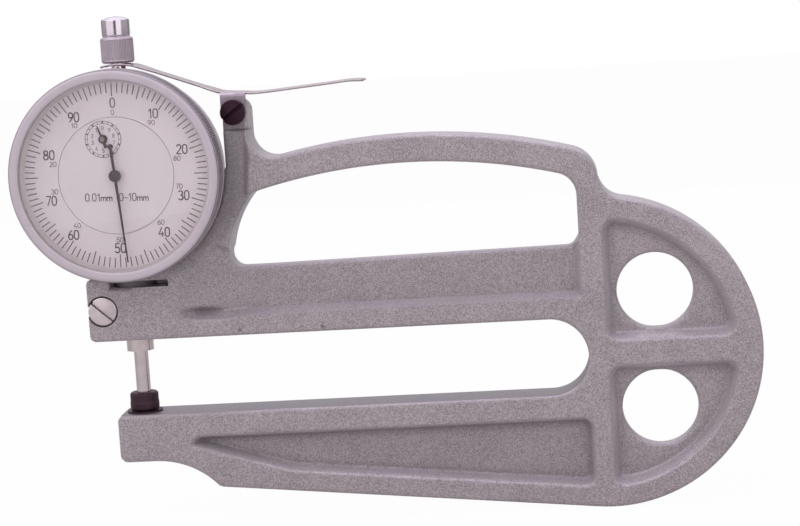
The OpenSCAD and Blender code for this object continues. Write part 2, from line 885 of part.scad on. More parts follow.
module hairspring() {
    color([0.35, 0.4, 0.6])
        slab(-wheel_y - spiral_gap - spiral_w, -wheel_y - spiral_gap)
            spiral(take_up_c, spiral_in, spiral_out, 4, spiral_t);
}

module hairspring_stud() {
    color([0.76, 0.66, 0.4])
        bar(
            take_up_c + [spiral_out + spiral_t / 2 + stud_r + run_fit, 0],
            stud_r, -wall_y + wall_t, -wheel_y - spiral_gap + lap
        );
}

// Half angle of a tooth at radius r, on pitch radius p
function inv(a) = tan(a) * 180 / PI - a;
function half_tooth(z, p, r) = let (base = p * cos(press_deg))
    90 / z - tooth_play / (2 * p) * 180 / PI + inv(press_deg) - (r > base ? inv(acos(base / r)) : 0);

// Toothed wheel drawn about the origin, with a tooth on +X
module toothed(z, p, top, root, steps) {
    radii = [for (i = [0:steps]) p - root + (top + root) * i / steps];
    polygon([for (i = [0:z - 1])
        each concat(
            [for (r = radii) let (a = 360 / z * i - half_tooth(z, p, r)) r * [cos(a), sin(a)]],
            [for (k = [steps:-1:0])
                let (r = radii[k], a = 360 / z * i + half_tooth(z, p, r)) r * [cos(a), sin(a)]]
        )]);
}

module wheel(c, deg) {
    root = (pinion_top + root_play) * wheel_m;
    hole_at = 0.58 * wheel_r;
    color([0.82, 0.68, 0.36])
        slab(-wheel_y, -wheel_y + wheel_t)
            difference() {
                translate(c) rotate(deg) toothed(wheel_teeth, wheel_r, wheel_top * wheel_m, root, 1);
                translate(c) circle(arbor_d / 2 + seat_fit);
                for (a = [0:72:288])
                    translate(c + hole_at * [cos(a), sin(a)]) circle(0.2 * wheel_r);
            }
}

module rack_pinion() {
    color([0.66, 0.64, 0.62]) {
        slab(-rack_half, rack_half)
            translate(counter_c)
                toothed(rack_teeth, rack_r, pinion_top * rack_m, (pinion_top + root_play) * rack_m, 3);
        bar(counter_c, arbor_d / 2, -counter_y - hand_t, rack_half);
    }
}

module transfer_gear() wheel(counter_c, arbor_deg + 180 + 180 / wheel_teeth);

module centre_pinion() {
    root = (wheel_top + root_play) * wheel_m;
    color([0.66, 0.64, 0.62]) {
        slab(-wheel_y - pinion_past, -wheel_y + wheel_t + pinion_past)
            translate(dial_c)
                rotate(arbor_deg)
                    toothed(centre_teeth, centre_r, pinion_top * wheel_m, root, 3);
        bar(dial_c, arbor_d / 2, -hand_y - hand_t, bridge_back - lap);
    }
}

module take_up_gear() wheel(take_up_c, take_up_deg + 180 + 180 / wheel_teeth);

module take_up_arbor() {
    color([0.66, 0.64, 0.62]) {
        bar(take_up_c, arbor_d / 2, -wall_y + lap, bridge_back - lap);
        bar(take_up_c, spiral_in - spiral_t, -wheel_y - spiral_gap - spiral_w - lap, -wheel_y);
    }
}

// Dial, hands and bezel

module centre_dial() {
    color([0.86, 0.82, 0.84])
        slab(-face_y, -face_y + dial_t)
            difference() {
                translate(dial_c) circle(seam_r - seam_gap / 2);
                translate(dial_c) circle(arbor_d);
                translate(counter_c) circle(arbor_d);
            }
}

module dial_ring() {
    color([0.86, 0.82, 0.84])
        slab(-face_y, -face_y + dial_t)
            difference() {
                translate(dial_c) circle(bore_r - seat_fit);
                translate(dial_c) circle(seam_r + seam_gap / 2);
            }
}

module spacer_ring() {
    color([0.75, 0.72, 0.74])
        turned()
            polygon([
                [opening_r + lip_lean, face_y], [bore_r - seat_fit, face_y],
                [bore_r - seat_fit, crystal_y - crystal_t], [opening_r, crystal_y - crystal_t]
            ]);
}

module crystal() {
    color([0.85, 0.9, 0.92, 0.3])
        bar(dial_c, bore_r - seat_fit, -crystal_y, -crystal_y + crystal_t);
}

module bezel() {
    round_r = 2.2;
    brow = front_y - lip_lean;
    color([0.78, 0.74, 0.78])
        turned()
            polygon(concat(
                [[bore_r, bezel_back], [bezel_r - edge, bezel_back], [bezel_r, bezel_back + edge]],
                arc([bezel_r - round_r, brow - round_r], round_r, 0, 75, 10),
                [
                    [opening_r + lip_lean, front_y], [opening_r, crystal_y + lip_lean],
                    [opening_r, crystal_y], [bore_r, crystal_y],
                    [bore_r, groove_high], [bore_r + edge, groove_high],
                    [bore_r + edge, groove_low], [bore_r, groove_low]
                ]
            ));
}

module bezel_snap_ring() {
    color([0.7, 0.68, 0.68])
        turned()
            translate([spigot_r - groove_d + snap_room + snap_r, snap_y])
                circle(snap_r);
}

// Tapered blade along +Y, with its half widths at both ends
module blade(l, root_w, tip_w) {
    polygon([[-root_w, 0], [root_w, 0], [tip_w, l], [-tip_w, l]]);
}

module counter_hand() {
    hub_r = 1.05;
    tail = 2.4;
    color([0.2, 0.17, 0.2])
        slab(-counter_y - hand_t, -counter_y)
            translate(counter_c)
                rotate(counter_deg)
                    difference() {
                        union() {
                            circle(hub_r);
                            blade(counter_l, 0.3 * hub_r, 0.14 * hub_r);
                            rotate(180) blade(tail, 0.24 * hub_r, 0.4 * hub_r);
                        }
                        circle(arbor_d / 2 + seat_fit);
                    }
}

module main_hand() {
    hub_r = 1.6;
    color([0.2, 0.17, 0.2])
        slab(-hand_y - hand_t, -hand_y)
            translate(dial_c)
                rotate(-hand_deg)
                    difference() {
                        union() {
                            circle(hub_r);
                            blade(hand_l, 0.24 * hub_r, 0.1 * hub_r);
                            rotate(180) blade(tail_l, 0.22 * hub_r, 0.22 * hub_r);
                            translate([0, -tail_l]) circle(0.45 * hub_r);
                        }
                        circle(arbor_d / 2 + seat_fit);
                    }
}

// Plunger

module rack_cut() {
    first = -ceil((lift + rack_past) / rack_pitch);
    last = ceil(rack_past / rack_pitch);
    tip = rack_x - pinion_top * rack_m;
    root = rack_x + (pinion_top + root_play) * rack_m;
    lean = tan(press_deg);
    gap = rack_pitch / 4 + tooth_play / 2;
    half = function (x) gap + (rack_x - x) * lean;
    slab(-plunger_d, plunger_d)
        polygon(concat(
            [for (i = [last, first]) [-plunger_d, counter_c[1] + i * rack_pitch]],
            [for (i = [first:last - 1])
                let (z = counter_c[1] + i * rack_pitch)
                each [
                    [tip, z + (i == first ? 0 : -half(tip))], [root, z + (i == first ? 0 : -half(root))],
                    [root, z + half(root)], [tip, z + half(tip)]
                ]],
            [[tip, counter_c[1] + last * rack_pitch]]
        ));
}

module plunger() {
    color([0.78, 0.75, 0.73]) {
        difference() {
            rod(plunger_d / 2, contact_h, cap_z + cap_seat_h);
            rack_cut();
        }
        rod(contact_thread_r, contact_h - contact_thread_l, contact_h + past);
        rod(cap_thread_r, cap_z + past, cap_z + cap_seat_h + cap_thread_l);
    }
}

module plunger_cap() {
    skirt_r = skirt_d / 2;
    crown_r = crown_d / 2;
    step_up = cap_z + skirt_h;
    top = step_up + crown_h;
    color([0.8, 0.78, 0.82])
        difference() {
            rotate_extrude()
                polygon([
                    [0, cap_z], [skirt_r - edge, cap_z], [skirt_r, cap_z + edge],
                    [skirt_r, step_up - edge], [skirt_r - edge, step_up],
                    [crown_r - edge / 2, step_up], [crown_r, step_up + edge],
                    [crown_r, top - 2 * edge], [crown_r - edge, top - edge],
                    [crown_r - 3 * edge, top], [0, top]
                ]);
            rod(plunger_d / 2 + seat_fit, cap_z - past, cap_z + cap_seat_h + seat_fit);
            rod(cap_thread_r + seat_fit, cap_z, cap_z + cap_seat_h + cap_thread_l + seat_fit);
        }
}

module contact_point() {
    foot_h = contact_h / 2;
    foot_r = contact_d / 2 + lap;
    color([0.14, 0.12, 0.13])
        difference() {
            rotate_extrude()
                polygon([
                    [0, contact_gap], [foot_r - edge, contact_gap], [foot_r, contact_gap + edge],
                    [foot_r, foot_h - lap], [contact_d / 2, foot_h], [contact_d / 2, contact_h - edge],
                    [contact_d / 2 - edge, contact_h], [0, contact_h]
                ]);
            rod(contact_thread_r + seat_fit, contact_h - contact_thread_l - seat_fit, contact_h + past);
        }
}

module guide_collar() {
    color([0.6, 0.6, 0.62])
        difference() {
            translate([-plunger_d / 2 - collar_wall, -plunger_d / 2 - collar_wall, collar_z - collar_h / 2])
                cube([plunger_d + collar_wall + pin_wall, plunger_d + 2 * collar_wall, collar_h]);
            rod(plunger_d / 2 + seat_fit, 0, dial_h);
            translate([plunger_d / 2 - edge, 0, collar_z])
                rotate([0, 90, 0])
                    cylinder(h = rail_x, r = pin_r + seat_fit);
        }
}

module guide_pin() {
    color([0.7, 0.7, 0.72])
        translate([plunger_d / 2 + lap, 0, collar_z])
            rotate([0, 90, 0])
                cylinder(h = rail_x + rail_w - edge - plunger_d / 2 - lap, r = pin_r);
}

// Lever

// Middle line of the lever's strip, from the fork's tip to the thumb end
function lever_line() = let (
    top = [0, fork_top - strip_t / 2],
    ear = [pivot_x - ear_w / 2, strip_z - strip_t / 2],
    arm = ear + [ear_w, 0],
    fork = [[-1, 1], [-0.62, 0.2], [-0.1, 0], [0.57, 0.2], [1.1, 1], [1.57, 2.4]],
    bend = [[-0.32, 1], [-0.09, 0.58], [0.12, 0.33], [0.91, 0]],
    thumb = [[0.045, -0.1], [0.16, -0.03], [0.45, 0.4], [0.71, 0.8], [0.87, 1.07], [1, 1]]
) concat(
    [for (p = fork) top + [p[0] * fork_l, -p[1] * fork_bow]],
    [for (p = bend) ear + [p[0] * ear_w, p[1] * knee]],
    [for (p = thumb) arm + [p[0] * thumb_l, p[1] * thumb_rise]]
);

// Band of thickness t along a line of points
module band(line, t) {
    n = len(line);
    side = [for (i = [0:n - 1])
        let (d = line[min(i + 1, n - 1)] - line[max(i - 1, 0)]) [-d[1], d[0]] / norm(d) * t / 2];
    polygon(concat(
        [for (i = [0:n - 1]) line[i] - side[i]],
        [for (i = [n - 1:-1:0]) line[i] + side[i]]
    ));
}

module lift_lever() {
    fork_end = plunger_d / 2 + fork_wall - fork_w / 2;
    ear_front = -ear_y - strip_t;
    ear_left = [pivot_x - ear_w / 2, pivot_c[1]];
    color([0.8, 0.77, 0.8]) {
        difference() {
            slab(-strip_w / 2, strip_w / 2) band(lever_line(), strip_t);
            rod(fork_w / 2, cap_z - skirt_h, cap_z);
            translate([-2 * fork_l, -fork_w / 2, cap_z - skirt_h])
                cube([2 * fork_l + fork_end, fork_w, skirt_h]);
        }
        // Ear on the pivot screw, folded down from the strip's front edge
        slab(ear_front, -ear_y)
            difference() {
                union() {
                    translate(pivot_c) circle(ear_w / 2);
                    translate(ear_left) square([ear_w, ear_rise - strip_t / 2]);
                }
                translate(pivot_c) circle(pivot_d / 2 + run_fit);
            }
        slab(ear_front, -strip_w / 2 + strip_t / 2)
            intersection() {
                band(lever_line(), strip_t);
                translate(ear_left) square([ear_w, 2 * ear_rise]);
            }
    }
}

frame();
anvil();
clamp_screw();
lever_pivot_screw();
stem();
lower_bush();
case();
upper_bush();
back_cover();
back_cover_screws();
bridge_plate();
bridge_pillars();
bridge_screws();
guide_rail();
spring_post();
return_spring();
hairspring();
hairspring_stud();
centre_dial();
bezel_snap_ring();
bezel();
crystal();
spacer_ring();
dial_ring();
plunger();
plunger_cap();
contact_point();
guide_collar();
guide_pin();
rack_pinion();
transfer_gear();
counter_hand();
centre_pinion();
main_hand();
take_up_gear();
take_up_arbor();
lift_lever();
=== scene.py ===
"""Looks of a dial thickness gauge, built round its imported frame.

Sizes are millimetres in the part's own frame: X runs along the throat, Z up the plunger, and the
dial faces -Y. Every surface is a function of two parameters worked out on whole arrays.
"""

import logging
from dataclasses import dataclass
from enum import Enum
from functools import cache
from itertools import product
from typing import Callable, Sequence

import bpy
import numpy as np
from mathutils import Matrix, Vector


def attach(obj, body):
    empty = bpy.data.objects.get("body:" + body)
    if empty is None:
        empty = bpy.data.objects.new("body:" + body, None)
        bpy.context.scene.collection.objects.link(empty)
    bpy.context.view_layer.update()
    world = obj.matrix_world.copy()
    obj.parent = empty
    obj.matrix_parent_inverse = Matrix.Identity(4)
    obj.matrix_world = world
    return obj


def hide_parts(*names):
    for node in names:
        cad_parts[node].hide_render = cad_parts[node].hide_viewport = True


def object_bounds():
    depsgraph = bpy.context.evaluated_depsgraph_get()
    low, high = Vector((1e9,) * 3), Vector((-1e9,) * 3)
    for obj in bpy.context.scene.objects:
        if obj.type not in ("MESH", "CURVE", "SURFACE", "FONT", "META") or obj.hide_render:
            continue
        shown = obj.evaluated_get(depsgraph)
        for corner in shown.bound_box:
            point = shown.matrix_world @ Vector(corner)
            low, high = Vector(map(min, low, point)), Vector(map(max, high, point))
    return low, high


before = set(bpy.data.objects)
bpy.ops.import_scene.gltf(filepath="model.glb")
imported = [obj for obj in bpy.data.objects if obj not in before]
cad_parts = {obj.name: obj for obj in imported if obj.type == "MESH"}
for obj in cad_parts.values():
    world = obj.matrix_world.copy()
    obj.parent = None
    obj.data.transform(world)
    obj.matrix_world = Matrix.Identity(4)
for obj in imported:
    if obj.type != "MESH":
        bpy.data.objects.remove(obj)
CAD_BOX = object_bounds()

MM = 0.001
LOG = logging.getLogger("gauge")
# Point attribute with the share of painted shade: depth in a knurl, or shade in the casting's
# hollows
SHADE_ATTRIBUTE = "groove"
WHITE = (1.0, 1.0, 1.0, 1.0)

# Middles in X and Z of the dial, its turn counter, the clamp screw and the lever's pivot
DIAL, COUNTER, CLAMP, PIVOT = (0.0, 64.6), (-2.673, 74.238), (-8.2, 28.0), (30.8, 78.9)
ORIGIN, DIAL_AXIS = (0.0, 0.0, 0.0), (0.0, 0.0, 64.6)

Array = np.ndarray
Field = Callable[[Array], Array]
Place = Callable[[Array, Array], Array]
Point = Sequence[float]
Span = tuple[float, float]
Triple = tuple[float, float, float]
Object, Tree = bpy.types.Object, bpy.types.NodeTree
Node, Socket, Material = bpy.types.Node, bpy.types.NodeSocket, bpy.types.Material
Inputs = dict[str | int, object]


class Turn(Enum):
    """Direction of a turned piece's axis."""

    FRONT = "along Y, outwards to the reader"
    UP = "along Z, up the plunger"


# Meshes

# Edges that turn further than this stay sharp, on most pieces and on those with fine edges
CREASE_DEG, FINE_CREASE_DEG = 38.0, 45.0


@dataclass
class Shape:
    """Points in millimetres and faces of one surface.

    Args:
        points: n x 3 array.
        faces: index arrays, each m x 3 or m x 4, turning anticlockwise seen from outside.
    """

    points: Array
    faces: list[Array]

    def __add__(self, other: "Shape") -> "Shape":
        """Both surfaces as one."""
        shifted = [f + len(self.points) for f in other.faces]
        return Shape(np.vstack([self.points, other.points]), self.faces + shifted)

    def piece(self, name: str, crease_deg: float = CREASE_DEG) -> Object:
        """Puts the surface into a mesh object at the origin.

        Args:
            name: the piece's name.
            crease_deg: edges that turn further than this stay sharp.

        Returns:
            The linked object.
        """
        faces = [f for f in self.faces if len(f)]
        mesh = bpy.data.meshes.new(name)
        mesh.vertices.add(len(self.points))
        mesh.vertices.foreach_set("co", (self.points * MM).astype(np.float32).ravel())
        sizes = np.concatenate([np.full(len(f), f.shape[1]) for f in faces])
        corners = np.concatenate([f.ravel() for f in faces])
        mesh.loops.add(len(corners))
        mesh.loops.foreach_set("vertex_index", corners.astype(np.int32))
        mesh.polygons.add(len(sizes))
        starts = np.concatenate([[0], np.cumsum(sizes)[:-1]])
        mesh.polygons.foreach_set("loop_start", starts.astype(np.int32))
        mesh.polygons.foreach_set("loop_total", sizes.astype(np.int32))
        mesh.update(calc_edges=True)
        mesh.validate()
        mesh.shade_smooth()
        mesh.set_sharp_from_angle(angle=np.radians(crease_deg))
        obj = bpy.data.objects.new(name, mesh)
        bpy.context.scene.collection.objects.link(obj)
        return obj


def join(shapes: Sequence[Shape]) -> Shape:
    """Several surfaces as one."""
    return sum(shapes[1:], shapes[0])


def table(*columns: Array) -> Array:
    """Columns side by side, such as coordinates or the corners of faces."""
    return np.stack(columns, axis=1)


def upright(p: Array, y: Array) -> Array:
    """Points of the X-Z plane, each moved to its own Y."""
    return table(p[:, 0], y, p[:, 1])


def level(height: float) -> Field:
    """A height that is the same at every point."""
    return lambda p: np.full(len(p), height)


def smooth_step(x: Array) -> Array:
    """Rises from 0 to 1 as x goes from 0 to 1, level at both ends: 3x^2 - 2x^3."""
    x = np.clip(x, 0.0, 1.0)
    return x * x * (3.0 - 2.0 * x)


def soft_min(a: Array, b: Array | float, width: float) -> Array:
    """Lesser of a and b, blended over a width round the place where they cross."""
    h = np.clip(0.5 + 0.5 * (b - a) / width, 0.0, 1.0)
    return b * (1.0 - h) + a * h - width * h * (1.0 - h)


# Distances in a plane, negative inside


def circle_distance(p: Array, centre: Point, radius: float) -> Array:
    """Distance to a circle's line."""
    return np.hypot(p[:, 0] - centre[0], p[:, 1] - centre[1]) - radius


def box_distance(p: Array, low: Point, high: Point) -> Array:
    """Distance to an upright rectangle's edge.

    Args:
        p: n x 2 points.
        low: the lower corner.
        high: the upper corner.

    Returns:
        n distances.
    """
    low, high = np.array(low), np.array(high)
    q = np.abs(p - (low + high) / 2) - (high - low) / 2
    return np.hypot(*np.maximum(q, 0).T) + np.minimum(q.max(axis=1), 0)


def polygon_distance(p: Array, corners: Array) -> Array:
    """Distance to a closed polygon: the least distance to its sides, signed by crossings.

    Args:
        p: n x 2 points.
        corners: m x 2 corners in order.

    Returns:
        n distances.
    """
    least = np.full(len(p), np.inf)
    inside = np.zeros(len(p), bool)
    for a, b in zip(corners, np.roll(corners, -1, axis=0)):
        side = b - a
        length2 = float(side @ side)
        if length2 < 1e-12:
            continue
        along = np.clip(((p - a) @ side) / length2, 0.0, 1.0)
        off = p - a - along[:, None] * side
        least = np.minimum(least, np.einsum("ij,ij->i", off, off))
        if a[1] != b[1]:
            spans = (a[1] > p[:, 1]) != (b[1] > p[:, 1])
            cross = p[:, 0] < (b[0] - a[0]) * (p[:, 1] - a[1]) / (b[1] - a[1]) + a[0]
            inside ^= spans & cross
    return np.where(inside, -1.0, 1.0) * np.sqrt(least)


def slope(distance: Field, p: Array, eps: float = 1e-3) -> Array:
    """Unit direction in which a distance grows, by differences.

    Args:
        distance: the distance.
        p: n x 2 points.
        eps: half the step of the differences.

    Returns:
        n x 2 directions.
    """
    du = distance(p + [eps, 0]) - distance(p - [eps, 0])
    dv = distance(p + [0, eps]) - distance(p - [0, eps])
    g = table(du, dv)
    return g / np.maximum(np.linalg.norm(g, axis=1, keepdims=True), 1e-9)


# Surfaces

# Most of a side, or of a plate's thickness, that one rounding may take up
MOST = 0.45


def cut_grid(
    distance: Field, low: Point, high: Point, step: float
) -> tuple[Array, Array, Array]:
    """Flat grid over the region where a distance is negative.

    Grid points within half a step of the edge line move onto it along the slope. No cell side
    then crosses the line, so each cell is kept whole, kept as one triangle, or left out.

    Args:
        distance: signed distance to the region's edge.
        low: lower corner of the grid.
        high: upper corner of the grid.
        step: spacing.

    Returns:
        Points (n x 2), quads and triangles.
    """
    nu, nv = (int(np.ceil((h - b) / step)) + 1 for b, h in zip(low, high))
    u, v = np.meshgrid(low[0] + step * np.arange(nu), low[1] + step * np.arange(nv), indexing="ij")
    p = table(u.ravel(), v.ravel())
    d = distance(p)
    near = np.abs(d) < 0.5 * step
    for _ in range(2):
        q = p[near]
        p[near] = q - distance(q)[:, None] * slope(distance, q)
    state = np.where(near, 0, np.sign(d)).astype(int)
    i, j = np.meshgrid(np.arange(nu - 1), np.arange(nv - 1), indexing="ij")
    a = (i * nv + j).ravel()
    cells = table(a, a + nv, a + nv + 1, a + 1)
    out = (state[cells] > 0).sum(axis=1)
    deep = (state[cells] < 0).any(axis=1)
    flat = (out == 0) & ~deep
    deep[flat] = distance(p[cells[flat]].mean(axis=1)) < 0
    quads = cells[(out == 0) & deep]
    one = cells[(out == 1) & deep]
    which = (state[one] > 0).argmax(axis=1)
    tris = table(*(one[np.arange(len(one)), (which + k) % 4] for k in (1, 2, 3)))
    used = np.zeros(len(p), bool)
    used[quads] = used[tris] = True
    number = np.cumsum(used) - 1
    return p[used], number[quads], number[tris]


def band(lower: Array, upper: Array) -> Array:
    """Quads from one row of edges to another."""
    return table(lower[:, 1], lower[:, 0], upper[:, 0], upper[:, 1])


def plate(
    distance: Field,
    low: Point,
    high: Point,
    step: float,
    front: Field,
    back: Field,
    rim: float,
    place: Place,
    rings: int = 4,
) -> Shape:
    """Closed plate over a flat region, with its two faces as heights and a rounded rim.

    The faces end one rim radius inside the edge. Ring k of the rim then lies rim * sin(a) further
    out and rim * (1 - cos(a)) lower, with a from 0 to 90 degrees, and a wall joins both rims.

    Args:
        distance: signed distance to the plate's edge.
        low: lower corner of the grid.
        high: upper corner of the grid.
        step: grid spacing.
        front: height of the front face at a point.
        back: height of the back face at a point.
        rim: radius of the rounded rim.
        place: map from flat points and heights to the frame.
        rings: rings in each rounded rim.

    Returns:
        The plate's surface.
    """
    inset: Field = lambda p: distance(p) + rim
    p, quads, tris = cut_grid(inset, low, high, step)
    n = len(p)
    sides = [np.stack([f, np.roll(f, -1, axis=1)], axis=2).reshape(-1, 2) for f in (quads, tris)]
    edges = np.vstack(sides)
    lone = ~np.isin(edges[:, 0] * n + edges[:, 1], edges[:, 1] * n + edges[:, 0])
    edges = edges[lone]
    border = np.unique(edges)
    m = len(border)
    spot = np.full(n, -1)
    spot[border] = np.arange(m)
    outward = slope(inset, p[border])
    heights = [front(p), back(p)]
    points = [place(p, heights[0]), place(p, heights[1])]
    faces = [quads, tris, quads[:, ::-1] + n, tris[:, ::-1] + n]
    round_r = np.minimum(rim, MOST * (heights[0] - heights[1])[border])
    turn = np.radians(90.0 * np.arange(1, rings + 1) / rings)
    last = []
    for side, sign in ((0, -1.0), (1, 1.0)):
        before = edges + side * n
        for k, angle in enumerate(turn):
            q = p[border] + outward * rim * np.sin(angle)
            points.append(place(q, heights[side][border] + sign * round_r * (1 - np.cos(angle))))
            ring = spot[edges] + 2 * n + (side * rings + k) * m
            strip = band(before, ring)
            faces.append(strip if side == 0 else strip[:, ::-1])
            before = ring
        last.append(before)
    faces.append(band(*last))
    return Shape(np.vstack(points), faces)


def rounded(profile: Sequence[Point], radius: float, steps: int = 4) -> Array:
    """Profile with its inner corners rounded by short curves.

    Each corner P becomes (1-t)^2 A + 2t(1-t) P + t^2 B, where A and B lie on its two sides, one
    radius away or MOST of the side if that is less.

    Args:
        profile: corners in order.
        radius: how far from the corner the curve starts.
        steps: pieces in each curve.

    Returns:
        The rounded profile.
    """
    c = np.array(profile, float)
    out = [c[:1]]
    t = np.linspace(0, 1, steps + 1)[:, None]
    for before, h, after in zip(c[:-2], c[1:-1], c[2:]):
        start, end = (
            h + (q - h) * min(MOST, radius / max(np.linalg.norm(q - h), 1e-9))
            for q in (before, after)
        )
        out.append((1 - t) ** 2 * start + 2 * t * (1 - t) * h + t**2 * end)
    return np.vstack(out + [c[-1:]])


def lathe(
    profile: Array,
    columns: int,
    axis: Turn,
    centre: Point = ORIGIN,
    wave: Callable[[Array, Array, Array], Array] | None = None,
    closed: bool = False,
) -> Shape:
    """Turned surface: a profile of radius r and height h carried round an axis.

    A point is centre + r (cos a, sin a) across the axis + h along it. A profile end on the axis
    becomes one point.

    Args:
        profile: n x 2 array of radius and height, with the outside on its right.
        columns: points round the axis.
        axis: direction of the axis.
        centre: a point on the axis.
        wave: radius change as a function of radius, height and angle, such as a knurl.
        closed: whether the profile's end joins its start.

    Returns:
        The turned surface.
    """
    angle = np.linspace(0, 2 * np.pi, columns, endpoint=False)
    r = np.repeat(profile[:, :1], columns, axis=1)
    h = np.repeat(profile[:, 1:], columns, axis=1)
    a = np.repeat(angle[None], len(profile), axis=0)
    if wave is not None:
        r = r + wave(r, h, a)
    x, y = r * np.cos(a), r * np.sin(a)
    xyz = np.stack([x, y, h], axis=2) if axis is Turn.UP else np.stack([x, -h, y], axis=2)
    rows = len(profile)
    points = xyz.reshape(-1, 3) + np.array(centre)
    index = np.arange(rows * columns).reshape(rows, columns)
    poles = profile[:, 0] < 1e-9
    index[poles] = index[poles][:, :1]
    lower = index if closed else index[:-1]
    upper = np.roll(index, -1, axis=0) if closed else index[1:]
    ring = [lower, np.roll(lower, -1, axis=1), np.roll(upper, -1, axis=1), upper]
    quads = np.stack(ring, axis=2).reshape(-1, 4)
    low_pole = quads[:, 0] == quads[:, 1]
    high_pole = quads[:, 2] == quads[:, 3]
    whole = ~(low_pole | high_pole)
    faces = [quads[whole], quads[low_pole][:, 1:], quads[high_pole & ~low_pole][:, :3]]
    used = np.unique(np.concatenate([f.ravel() for f in faces]))
    number = np.zeros(len(points), int)
    number[used] = np.arange(len(used))
    return Shape(points[used], [number[f] for f in faces])


def rod(r: float, low: float, high: float, columns: int, axis: Turn, centre: Point) -> Shape:
    """Plain closed cylinder between two heights along its axis."""
    return lathe(np.array([[0, low], [r, low], [r, high], [0, high]]), columns, axis, centre)


def slabs(
    centres: Array, along: Array, half_long: Array, half_wide: Array, y: float, thick: float
) -> Shape:
    """Thin upright slabs facing the reader, such as printed strokes.

    Args:
        centres: n x 2 middles in X and Z.
        along: n x 2 unit directions.
        half_long: n half lengths.
        half_wide: n half widths.
        y: the slabs' back in Y.
        thick: thickness towards the reader.

    Returns:
        One closed box for each slab.
    """
    across = table(along[:, 1], -along[:, 0])
    signs = np.array([[-1, -1], [-1, 1], [1, 1], [1, -1]], float)
    flat = centres[:, None] + (
        signs[None, :, :1] * (along * half_long[:, None])[:, None]
        + signs[None, :, 1:] * (across * half_wide[:, None])[:, None]
    )
    n = len(centres)
    points = np.empty((n, 8, 3))
    points[..., [0, 2]] = np.tile(flat, (1, 2, 1))
    points[:, :4, 1], points[:, 4:, 1] = y, y - thick
    ends = [[0, 1, 2, 3], [7, 6, 5, 4]]
    sides = [[0, 4, 5, 1], [1, 5, 6, 2], [2, 6, 7, 3], [3, 7, 4, 0]]
    faces = (np.array(ends + sides) + 8 * np.arange(n)[:, None, None]).reshape(-1, 4)
    return Shape(points.reshape(-1, 3), [faces])


def box(low: Point, high: Point) -> Shape:
    """Closed box between two corners.

    Args:
        low: the lower corner.
        high: the upper corner.

    Returns:
        The box's surface.
    """
    across_x = [[0, 1, 3, 2], [4, 6, 7, 5]]
    round_x = [[0, 4, 5, 1], [2, 3, 7, 6], [0, 2, 6, 4], [1, 5, 7, 3]]
    return Shape(np.array(list(product(*zip(low, high)))), [np.array(across_x + round_x)])


def oval(
    centre: Point, rx: float, rz: float, start: float, end: float, square: float = 2.0
) -> Array:
    """Points along a superellipse |x / rx|^n + |z / rz|^n = 1, between two angles in degrees.

    Args:
        centre: the middle.
        rx: half the width.
        rz: half the height.
        start: where it starts.
        end: where it ends.
        square: the power n, 2 for an ellipse.

    Returns:
        The points, in order.
    """
    a = np.radians(np.linspace(start, end, 15))
    c, s = np.cos(a), np.sin(a)
    power = 2.0 / square
    x = centre[0] + rx * np.sign(c) * np.abs(c) ** power
    return table(x, centre[1] + rz * np.sign(s) * np.abs(s) ** power)


